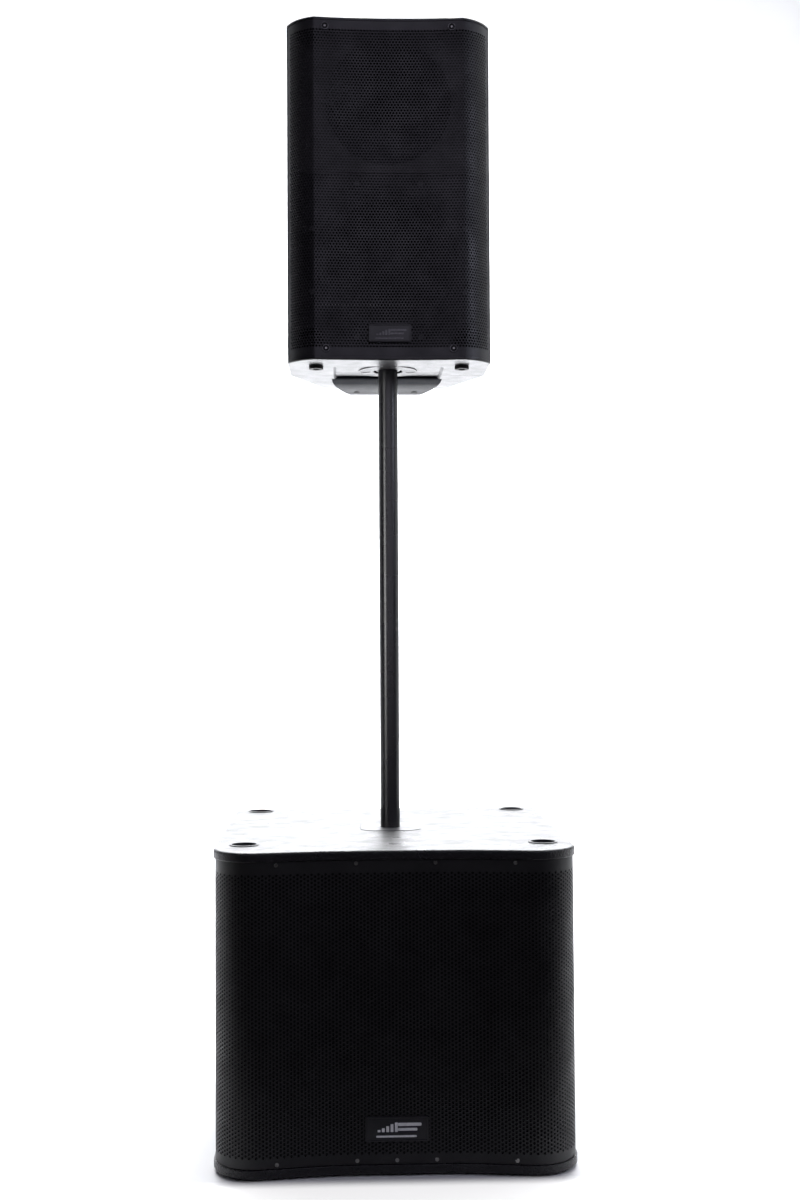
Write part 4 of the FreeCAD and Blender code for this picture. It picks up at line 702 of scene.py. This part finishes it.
def top_curve(depth, y_end):
    """Front and flanks of the upper cabinet, inset by depth."""
    flank_x, flank_y, flank_r = circle_through(TOP_CREASE, TOP_FLANK_MID, TOP_FLANK_END)
    flank_r -= depth
    # the front arc is centred ahead of the cabinet, so its radius grows with the inset
    sag = TOP_MID_Y - TOP_CREASE[1]
    front_r = (TOP_CREASE[0]**2 + sag**2) / (2 * sag)
    front_y = TOP_MID_Y - front_r
    front_r += depth
    # the moved arcs cross at two points; the new crease is the one nearer the old
    dx, dy = flank_x, flank_y - front_y
    gap = math.hypot(dx, dy)
    along = (front_r**2 - flank_r**2 + gap**2) / (2 * gap)
    aside = math.sqrt(front_r**2 - along**2)
    foot_x, foot_y = along * dx / gap, front_y + along * dy / gap
    crossings = [(foot_x + side * dy / gap, foot_y - side * dx / gap) for side in (aside, -aside)]
    crease = min(crossings, key=lambda p: math.dist(p, TOP_CREASE))

    def on_flank(angle):
        return flank_x + flank_r * math.cos(angle), flank_y + flank_r * math.sin(angle)

    def mirrored(point):
        return -point[0], point[1]

    end_angle = math.asin((y_end - flank_y) / flank_r)
    crease_angle = math.atan2(crease[1] - flank_y, crease[0] - flank_x)
    mid, end = on_flank((crease_angle + end_angle) / 2), on_flank(end_angle)
    return PlanCurve([
        arc_points(mirrored(end), mirrored(mid), mirrored(crease), steps=60),
        arc_points(mirrored(crease), (0.0, TOP_MID_Y + depth), crease, steps=80),
        arc_points(crease, mid, end, steps=60)])


# ------------------------------------------------------------------ perforated grilles
HOLE_SIDES = 8
MARGIN_STEPS = 3


def ring_triangles(outer, inner):
    """Triangles between two loops round the origin; inner indices follow the outer ones."""
    def walk(points):
        angles = [math.atan2(y, x) % (2 * math.pi) for x, y in points]
        order = sorted(range(len(points)), key=lambda k: angles[k])
        following = [angles[k] for k in order[1:]] + [angles[order[0]] + 2 * math.pi, 1e9]
        return order + order[:1], following

    outer_ids, outer_next = walk(outer)
    inner_ids, inner_next = walk(inner)
    inner_ids = [len(outer) + k for k in inner_ids]
    triangles = []
    i = j = 0
    while i < len(outer) or j < len(inner):
        if outer_next[i] <= inner_next[j]:
            triangles.append((outer_ids[i], outer_ids[i + 1], inner_ids[j]))
            i += 1
        else:
            triangles.append((outer_ids[i], inner_ids[j + 1], inner_ids[j]))
            j += 1
    return np.array(triangles)


def spaced(start, end):
    """Stations across a plain margin, without its start."""
    return [start + (end - start) * k / MARGIN_STEPS for k in range(1, MARGIN_STEPS + 1)]


def perforate(name, mat, curve, z_edges, z_holes, side_margin, pitch, row_step, radius, thick,
              upright):
    """Perforated sheet bent along curve; each hole sits in a brick of pitch x row_step.
    Rows of bricks run along u and step along v. u is height if upright, else arc length."""
    length = curve.length
    across = (0.0, length), (side_margin, length - side_margin)
    height = z_edges, z_holes
    (u_edges, u_holes), (v_edges, v_holes) = (height, across) if upright else (across, height)
    per_row = int((u_holes[1] - u_holes[0]) // pitch)
    rows = int((v_holes[1] - v_holes[0]) // row_step)
    u0 = (sum(u_holes) - per_row * pitch) / 2
    v0 = (sum(v_holes) - rows * row_step) / 2

    # grid of brick corners, at half pitch along u
    wide = 2 * per_row + 1
    us = u0 + np.arange(wide) * pitch / 2
    vs = v0 + np.arange(rows + 1) * row_step
    grid = np.stack([values.ravel() for values in np.meshgrid(us, vs)], 1)

    # one brick: grid steps (row, column) of its outline, and the hole
    steps = [(0, 0), (0, 1), (0, 2), (1, 2), (1, 1), (1, 0)]
    outline = [((k - 1) * pitch / 2, (i - 0.5) * row_step) for i, k in steps]
    angles = [2 * math.pi * (k + 0.5) / HOLE_SIDES for k in range(HOLE_SIDES)]
    ring = [(radius * math.cos(a), radius * math.sin(a)) for a in angles]

    # odd rows are shifted by half a brick and hold one fewer
    bricks = [(i, 2 * j + i % 2) for i in range(rows) for j in range(per_row - i % 2)]
    row, col = np.array(bricks).T
    centres = np.stack([u0 + (col + 1) * pitch / 2, v0 + (row + 0.5) * row_step], 1)
    holes = (centres[:, None, :] + np.array(ring)).reshape(-1, 2)
    hole_ids = len(grid) + np.arange(len(holes)).reshape(-1, HOLE_SIDES)
    corner_ids = np.stack([(row + i) * wide + col + k for i, k in steps], 1)
    brick_ids = np.hstack([corner_ids, hole_ids])
    faces = brick_ids[:, ring_triangles(outline, ring)].reshape(-1, 3).tolist()
    for i in range(1, rows, 2):
        for k in (i * wide, i * wide + wide - 2):
            faces.append([k, k + 1, k + 1 + wide, k + wide])

    # plain margins: below and above the holes, then left and right of all rows
    extra = []

    def strip(points):
        first = len(grid) + len(holes) + len(extra)
        extra.extend(points)
        return list(range(first, first + len(points)))

    v_top = v0 + rows * row_step
    below, above = [list(range(wide))], [list(range(rows * wide, (rows + 1) * wide))]
    for lines, start, end in ((below, v0, v_edges[0]), (above, v_top, v_edges[1])):
        lines += [strip([(u, v) for u in us]) for v in spaced(start, end)]
    for low, high in [*zip(below[1:], below), *zip(above, above[1:])]:
        faces += [[low[k], low[k + 1], high[k + 1], high[k]] for k in range(wide - 1)]

    def end_column(end):
        inner = [i * wide + end % wide for i in range(1, rows)]
        return [line[end] for line in below[::-1]] + inner + [line[end] for line in above]

    all_v = spaced(v0, v_edges[0])[::-1] + list(vs) + spaced(v_top, v_edges[1])
    lefts, rights = [end_column(0)], [end_column(-1)]
    u_right = u0 + per_row * pitch
    for lines, start, end in ((lefts, u0, u_edges[0]), (rights, u_right, u_edges[1])):
        lines += [strip([(u, v) for v in all_v]) for u in spaced(start, end)]
    for left, right in [*zip(lefts[1:], lefts), *zip(rights, rights[1:])]:
        faces += [[left[k], right[k], right[k + 1], left[k + 1]] for k in range(len(all_v) - 1)]

    border = [line[0] for line in lefts[:0:-1]] + below[-1] + [line[0] for line in rights[1:]]
    border += rights[-1][1:] + [line[-1] for line in rights[-2:0:-1]] + above[-1][::-1]
    border += [line[-1] for line in lefts[1:]] + lefts[-1][-2:0:-1]

    # outer and inner skins, hole walls and the rim
    flat = np.vstack([grid, holes, np.array(extra)])
    count = len(flat)
    after = np.roll(hole_ids, -1, axis=1)
    walls = np.stack([hole_ids, after, after + count, hole_ids + count], 2).reshape(-1, 4)
    if upright:
        z, s = flat.T
        faces = [face[::-1] for face in faces]
        walls = walls[:, ::-1]
        border = border[::-1]
    else:
        s, z = flat.T
    verts = np.vstack([np.stack([*curve.at(s, depth), z], 1) for depth in (0.0, thick)])
    faces += [[k + count for k in face[::-1]] for face in faces]
    faces += walls.tolist()
    faces += [[p, p + count, q + count, q] for p, q in zip(border, border[1:] + border[:1])]
    return mesh_object(name, verts, faces, mat, smooth=35)


top_grille = perforate(
    "top_grille_perforated", GRILLE_TOP, top_curve(depth=1.0, y_end=TOP_FLANK_END[1] - 1.2),
    z_edges=(TOP_Z + 5.5, TOP_SHELL_Z1 - 5.5), z_holes=(TOP_Z + 20.6, TOP_SHELL_Z1 - 19.2),
    side_margin=5.0, pitch=5.54, row_step=4.80, radius=2.06, thick=1.3, upright=False)
attach(top_grille, "top_speaker", replaced="top_grille")
sub_grille = perforate(
    "sub_grille_perforated", GRILLE_SUB, sub_curve(y_end=-228.5),
    z_edges=(SUB_INNER_Z0 + 0.8, SUB_INNER_Z1 - 0.8),
    z_holes=(SUB_INNER_Z0 + 14.0, SUB_INNER_Z1 - 18.0),
    side_margin=7.0, pitch=6.55, row_step=5.64, radius=2.2, thick=1.4, upright=True)
attach(sub_grille, "subwoofer", replaced="sub_grille")


# ------------------------------------------------------------------ foam behind the sub grille
def soft_sheet(name, mat, curve, depths, z_span, cols, rows, unevenness):
    """Closed soft sheet along the curve with an uneven outer face."""
    s, z = np.meshgrid(np.linspace(0, curve.length, cols), np.linspace(*z_span, rows))
    limit = 2.2 * unevenness
    waver = np.clip(RNG.normal(0, unevenness, s.shape).ravel(), -limit, limit)
    s, z = s.ravel(), z.ravel()
    verts = np.vstack([np.stack([*curve.at(s, depth), z], 1)
                       for depth in (depths[0] + waver, depths[1])])
    count = cols * rows
    faces = []
    for j in range(rows - 1):
        for i in range(cols - 1):
            k = j * cols + i
            faces.append((k, k + 1, k + cols + 1, k + cols))
            faces.append(tuple(count + q for q in (k, k + cols, k + cols + 1, k + 1)))
    border = list(range(cols)) + [j * cols + cols - 1 for j in range(1, rows)]
    border += [(rows - 1) * cols + i for i in range(cols - 2, -1, -1)]
    border += [j * cols for j in range(rows - 2, 0, -1)]
    faces += [(q, p, p + count, q + count) for p, q in zip(border, border[1:] + border[:1])]
    return mesh_object(name, verts, faces, mat, smooth=60)


foam_sheet = soft_sheet("sub_foam_sheet", MAT["grille_foam"], sub_curve(y_end=-229.0),
                        depths=(2.9, 5.2), z_span=(SUB_INNER_Z0 + 8, SUB_INNER_Z1 - 8),
                        cols=230, rows=150, unevenness=0.30)
attach(foam_sheet, "subwoofer", replaced="sub_grille_foam")


# ------------------------------------------------------------------ woofer surrounds and spiders
def lathe(name, mat, profile, axis_z, sides):
    """Closed profile of (radius, y) turned about an axis along Y."""
    verts, faces = [], []
    count = len(profile)
    for k in range(sides):
        angle = 2 * math.pi * k / sides
        verts += [(r * math.sin(angle), y, axis_z + r * math.cos(angle)) for r, y in profile]
        this, after = k * count, (k + 1) % sides * count
        for i in range(count):
            j = (i + 1) % count
            faces.append((this + i, after + i, after + j, this + j))
    return mesh_object(name, verts, faces, mat, smooth=35, fix_normals=True, weld=True)


def flex(obj):
    """Bakes the piece's placement into its mesh and reads its points."""
    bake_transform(obj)
    co = np.zeros(len(obj.data.vertices) * 3)
    obj.data.vertices.foreach_get("co", co)
    co = co.reshape(-1, 3)


def surround(prefix, axis_z, outer_r, cone_r):
    """Half-roll between basket and cone, bulging to the front."""
    lip = box_mm(prefix + "_woofer_surround")[1][1]
    front, back = lip - 1.4, lip - 0.1
    mid_r, roll_r, half_thick = (cone_r + outer_r) / 2, (outer_r - cone_r) / 2 - 3, 0.6

    def half_roll(radius, y):
        angles = [math.pi * k / 24 for k in range(25)]
        return [(mid_r - radius * math.cos(a), y - radius * math.sin(a)) for a in angles]

    profile = [(cone_r - 2.8, back), (cone_r - 2.8, lip - 1.2), (cone_r - 2.2, front)]
    profile += half_roll(roll_r + half_thick, front)
    profile += [(outer_r + 6.2, front), (outer_r + 6.8, lip - 1.1), (outer_r + 6.8, back)]
    profile += half_roll(roll_r - half_thick, back)[::-1]
    roll = lathe(prefix + "_surround_roll", MAT["surround_foam"], profile, axis_z, sides=128)
    flex(roll)
    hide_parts(prefix + "_woofer_surround")


def spider(prefix, axis_z, coil_r):
    """Corrugated cloth disc round the coil, flat towards both rims."""
    waves, depth, half_thick, steps = 6, 2.0, 0.35, 72
    low, high = box_mm(prefix + "_woofer_spider")
    mid_y = (low[1] + high[1]) / 2
    rim_r, hole_r = high[0] - 0.1, coil_r + 0.45
    line = []
    for k in range(steps + 1):
        calm = min(1.0, 6.0 * k / steps, 6.0 * (steps - k) / steps)
        y = mid_y + depth * math.sin(2 * math.pi * waves * k / steps) * calm
        line.append((hole_r + (rim_r - hole_r) * k / steps, y))
    profile = [(r, y - half_thick) for r, y in line]
    profile += [(r, y + half_thick) for r, y in line[::-1]]
    disc = lathe(prefix + "_spider_cloth", MAT["spider_cloth"], profile, axis_z, sides=96)
    flex(disc)
    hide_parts(prefix + "_woofer_spider")


# prefix, fixed body, moving body, axis height, surround radius, cone radius, coil radius
for prefix, fixed, moving, axis_z, outer_r, cone_r, coil_r in (
        ("sub", "subwoofer", "sub_cone", SUB_WOOFER_Z, 207.0, 182.0, 50.0),
        ("top", "top_speaker", "top_cone", TOP_WOOFER_Z, 133.0, 114.0, 32.0)):
    surround(prefix, axis_z, outer_r, cone_r)
    spider(prefix, axis_z, coil_r)


# ------------------------------------------------------------------ badges
CORNER_STEPS = 8


def rounded_loop(width, height, radius):
    points = []
    for sx, sz, start in ((1, 1, 0), (-1, 1, 90), (-1, -1, 180), (1, -1, 270)):
        cx, cz = sx * (width / 2 - radius), sz * (height / 2 - radius)
        for k in range(CORNER_STEPS + 1):
            angle = math.radians(start + 90 * k / CORNER_STEPS)
            points.append((cx + radius * math.cos(angle), cz + radius * math.sin(angle)))
    return points


def stacked(name, mat, loops, cx, cz):
    """Closed skin over rounded rectangles given as (width, height, radius, y)."""
    verts = [(cx + px, y, cz + pz) for width, height, radius, y in loops
             for px, pz in rounded_loop(width, height, radius)]
    faces = loft_faces(len(loops), len(verts) // len(loops))
    return mesh_object(name, verts, faces, mat, smooth=28, fix_normals=True)


def merge(name, mat, parts):
    """One object from several, which are removed."""
    mesh = bpy.data.meshes.new(name)
    bm = bmesh.new()
    for part in parts:
        bm.from_mesh(part.data)
    bm.to_mesh(mesh)
    bm.free()
    mesh.materials.append(mat)
    obj = bpy.data.objects.new(name, mesh)
    SCENE.collection.objects.link(obj)
    for part in parts:
        bpy.data.objects.remove(part)
    shade(mesh, 28)
    return obj


# Plain sound-level sign: five rising bars, two bars beside them and a base line
# x, z, width, height, corner radius
SIGN = [(-26 + 6.2 * k, -4.2 + height / 2, 4.2, height, 0.7)
        for k, height in enumerate([3.2, 5.6, 8.4, 11.2, 13.4])]
SIGN += [(18, 6.4, 34, 4.6, 1.6), (15, -0.6, 28, 4.0, 1.4), (-1, -10.4, 58, 2.8, 1.2)]


def badge(prefix, body, scale, mat):
    """Plate with a raised rim and the sign laid into its sunk face."""
    node = prefix + "_badge"
    low, high = box_mm(node)
    cx, cz = (low[0] + high[0]) / 2, (low[2] + high[2]) / 2
    back, front = high[1], low[1]
    # inset of the outline, corner radius, y
    steps = [(0.0, 2.4, back), (0.0, 2.4, front + 1.0), (0.7, 2.1, front + 0.25),
             (1.8, 1.7, front), (4.6, 1.3, front), (5.2, 1.2, front + 0.35),
             (6.0, 1.0, front + 0.75)]
    loops = [(high[0] - low[0] - cut, high[2] - low[2] - cut, radius, y)
             for cut, radius, y in steps]
    plate = stacked(prefix + "_badge_plate", MAT["badge_plastic"], loops, cx, cz)
    attach(plate, body, replaced=node)
    bars = []
    for bar in SIGN:
        x, z, width, height, radius = (value * scale for value in bar)
        loops = [(width, height, radius, front + 0.9), (width, height, radius, front + 0.42),
                 (width - 0.4, height - 0.4, radius - 0.2, front + 0.25)]
        bars.append(stacked("bar", mat, loops, cx + x, cz + z))
    attach(merge(prefix + "_badge_inlay", mat, bars), body)


INK_WHITE = ink("inlay_white", (0.86, 0.86, 0.86))
INK_GREY = ink("inlay_grey", (0.110, 0.106, 0.118), rough=0.25)
INK_PRINT = ink("printed_marks", (0.42, 0.42, 0.43))
badge("sub", "subwoofer", scale=1.12, mat=INK_WHITE)
badge("top", "top_speaker", scale=0.84, mat=INK_GREY)


# ------------------------------------------------------------------ threaded stud of the pole
def stud_thread():
    sides, step, thread_pitch = 40, 0.25, 2.5
    crest_r, thread_depth, tip_r = 10.0, 1.35, 8.4
    z0 = box_mm("pole_threaded_stud")[0][2]
    z1 = box_mm("pole_tube")[0][2]
    rings = int((z1 + 0.4 - z0) / step) + 1
    verts = []
    for j in range(rings):
        z = z0 + j * step
        for k in range(sides):
            angle = 2 * math.pi * k / sides
            phase = ((z - z0) / thread_pitch - k / sides) % 1.0
            groove = (1 - abs(2 * phase - 1)) * 1.25 - 0.12
            radius = crest_r - thread_depth * min(1.0, max(0.0, groove))
            radius = min(radius, tip_r + z - z0)  # 45 degree chamfer at the lower end
            verts.append((radius * math.cos(angle), radius * math.sin(angle), min(z, z1 + 0.2)))
    stud = mesh_object("pole_stud_thread", verts, loft_faces(rings, sides), MAT["stud_steel"],
                       smooth=50)
    attach(stud, "pole", replaced="pole_threaded_stud")


stud_thread()


# ------------------------------------------------------------------ printed ticks round the knobs
def knob_scale(name, body, x, z, panel_y, inner_r, outer_r):
    """Eleven radial ticks over 300 degrees; every fifth is wider."""
    count, sweep = 11, 300.0
    verts, faces = [], []
    for k in range(count):
        angle = math.radians(-sweep / 2 + sweep * k / (count - 1))
        half = (0.45 if k % 5 else 0.8) / 2
        ux, uz = math.sin(angle), math.cos(angle)
        b = len(verts)
        for y in (panel_y - 0.02, panel_y + 0.12):
            for r, side in ((inner_r, -half), (inner_r, half), (outer_r, half), (outer_r, -half)):
                verts.append((x + ux * r + uz * side, y, z + uz * r - ux * side))
        faces += [(b + 4, b + 5, b + 6, b + 7), (b + 3, b + 2, b + 1, b)]
        faces += [(b + i, b + (i + 1) % 4, b + 4 + (i + 1) % 4, b + 4 + i) for i in range(4)]
    obj = mesh_object(name, verts, faces, INK_PRINT, smooth=0, fix_normals=True)
    attach(obj, body)


SUB_PANEL_Y = 302.0
TOP_PANEL_Y = 176.0
TOP_KNOB_Z = TOP_Z + 232
knob_scale("sub_gain_scale", "subwoofer", x=10, z=215, panel_y=SUB_PANEL_Y,
           inner_r=11.0, outer_r=13.4)
for name, x in (("gain_a_scale", -42), ("gain_b_scale", 0)):
    knob_scale(name, "top_speaker", x=x, z=TOP_KNOB_Z, panel_y=TOP_PANEL_Y,
               inner_r=9.4, outer_r=11.6)


# ------------------------------------------------------------------ floor and world
def floor_white(name):
    t = Material(name)
    # the strip in front of the stack glows for the camera alone, so it does not light the front
    strip = t.ramp(t.xyz()[1], -0.30, -0.345, to=(0.0, 0.72), smooth=True)
    glow = t.mul(strip, t.node("ShaderNodeLightPath").outputs["Is Camera Ray"])
    t.fill(t.shader, {"Emission Color": (1.0, 0.99, 0.975, 1), "Emission Strength": glow})
    color = t.mix(t.varied(0.0, 1.0, scale=2.0, detail=3.0), (0.88, 0.885, 0.89),
                  (0.92, 0.92, 0.925))
    normal = t.bump(t.noise(300.0, detail=3.0), strength=0.03, distance=0.0005)
    return t.finish(color, 0.55, normal, spec=0.3)


def build_floor():
    """Flat floor rising through a quarter-round cove into a wall behind the stack."""
    half_width, front_y, cove_y, cove_r, wall_top = 9000.0, -520.0, 5000.0, 2000.0, 9000.0
    profile = [(front_y, 0.0), (cove_y, 0.0)]
    for k in range(1, 11):
        angle = math.radians(9 * k)
        profile.append((cove_y + cove_r * math.sin(angle), cove_r - cove_r * math.cos(angle)))
    profile.append((cove_y + cove_r, wall_top))
    verts = [(x, y, z) for x in (-half_width, half_width) for y, z in profile]
    n = len(profile)
    faces = [(i, n + i, n + i + 1, i + 1) for i in range(n - 1)]
    mesh_object("floor", verts, faces, floor_white("floor_white"), smooth=60)


def build_world():
    """Pale sky, bright behind the stack and slightly more so to the right."""
    world = bpy.data.worlds.new("studio")
    SCENE.world = world
    world.use_nodes = True
    t = Tree(world.node_tree, "Generated")
    x, y, z = t.xyz()
    level = t.ramp(t.math("MULTIPLY_ADD", x, 0.22, y), -0.10, 0.45, to=(0.02, 1.25), smooth=True)
    t.fill(t.tree.nodes["Background"], {"Strength": level, "Color": (0.95, 0.975, 1.0, 1)})


build_floor()
build_world()

# ------------------------------------------------------------------ lights
# name, location, target, width, height, watts, colour
LIGHTS = [
    ("overhead", (0.0, 1.7, 3.6), (0.0, 1.2, 0.0), 3.4, 3.0, 140, (1, 1, 1)),
    ("backdrop_wash", (0.0, 3.2, 3.6), (0.0, 6.5, 1.6), 5.0, 1.5, 375, (0.975, 0.99, 1.03)),
    ("floor_wash", (0.0, 3.6, 3.0), (0.0, 3.2, 0.0), 5.0, 2.0, 390, (0.98, 0.99, 1.02)),
    ("room_front", (0.2, -3.4, 2.62), (0.0, 0.0, 1.45), 3.0, 1.9, 17, (1.0, 0.955, 1.18)),
    ("right_high", (2.5, -1.4, 2.15), (0.0, 0.0, 1.5), 0.8, 1.3, 15, (0.90, 0.93, 1.12)),
    ("left_low", (-2.2, -1.85, 1.10), (0.0, 0.0, 1.02), 0.9, 1.0, 1.3, (1, 1, 1)),
    ("pole_front", (0.2, -2.6, 1.25), (0.0, 0.0, 1.15), 5.5, 1.1, 13, (1.0, 0.97, 1.10)),
]
lamps = {}
for name, location, target, width, height, watts, color in LIGHTS:
    light = bpy.data.lights.new(name, "AREA")
    light.shape = "RECTANGLE"
    light.size = width
    light.size_y = height
    light.energy = watts
    light.color = color
    lamp = bpy.data.objects.new(name, light)
    SCENE.collection.objects.link(lamp)
    lamp.location = location
    aim = Vector(target) - Vector(location)
    lamp.rotation_euler = aim.to_track_quat("-Z", "Y").to_euler()
    lamp.visible_camera = False
    lamps[name] = lamp

# two of them light the pole alone
lamps["left_low"].data.spread = math.radians(34)
pole_only = bpy.data.collections.new("pole_only")
for name in ("pole_tube", "pole_end_cap"):
    pole_only.objects.link(NODES[name])
for name in ("left_low", "pole_front"):
    lamps[name].light_linking.receiver_collection = pole_only

# ------------------------------------------------------------------ camera and view
CAM_X, CAM_Y, CAM_Z = -0.07750, -2.70290, 0.86200
# radians: yaw turns right of +Y, pitch tilts up
YAW, PITCH, ROLL = 0.0360, 0.0255, -0.0055

lens = bpy.data.cameras.new("camera")
lens.sensor_fit = "VERTICAL"
lens.sensor_height = 36.0
lens.lens = 44.709
lens.clip_start = 0.05
lens.clip_end = 60.0
camera = bpy.data.objects.new("camera", lens)
SCENE.collection.objects.link(camera)
ahead = Vector((math.sin(YAW) * math.cos(PITCH), math.cos(YAW) * math.cos(PITCH),
                math.sin(PITCH)))
level_right = ahead.cross(Vector((0, 0, 1))).normalized()
level_up = level_right.cross(ahead)
right = level_right * math.cos(ROLL) + level_up * math.sin(ROLL)
up = level_up * math.cos(ROLL) - level_right * math.sin(ROLL)
camera.matrix_world = Matrix(((right.x, up.x, -ahead.x, CAM_X), (right.y, up.y, -ahead.y, CAM_Y),
                              (right.z, up.z, -ahead.z, CAM_Z), (0, 0, 0, 1)))
SCENE.camera = camera
SCENE.view_settings.view_transform = "Standard"
SCENE.view_settings.look = "None"
SCENE.view_settings.exposure = 0.0
SCENE.view_settings.gamma = 1.0
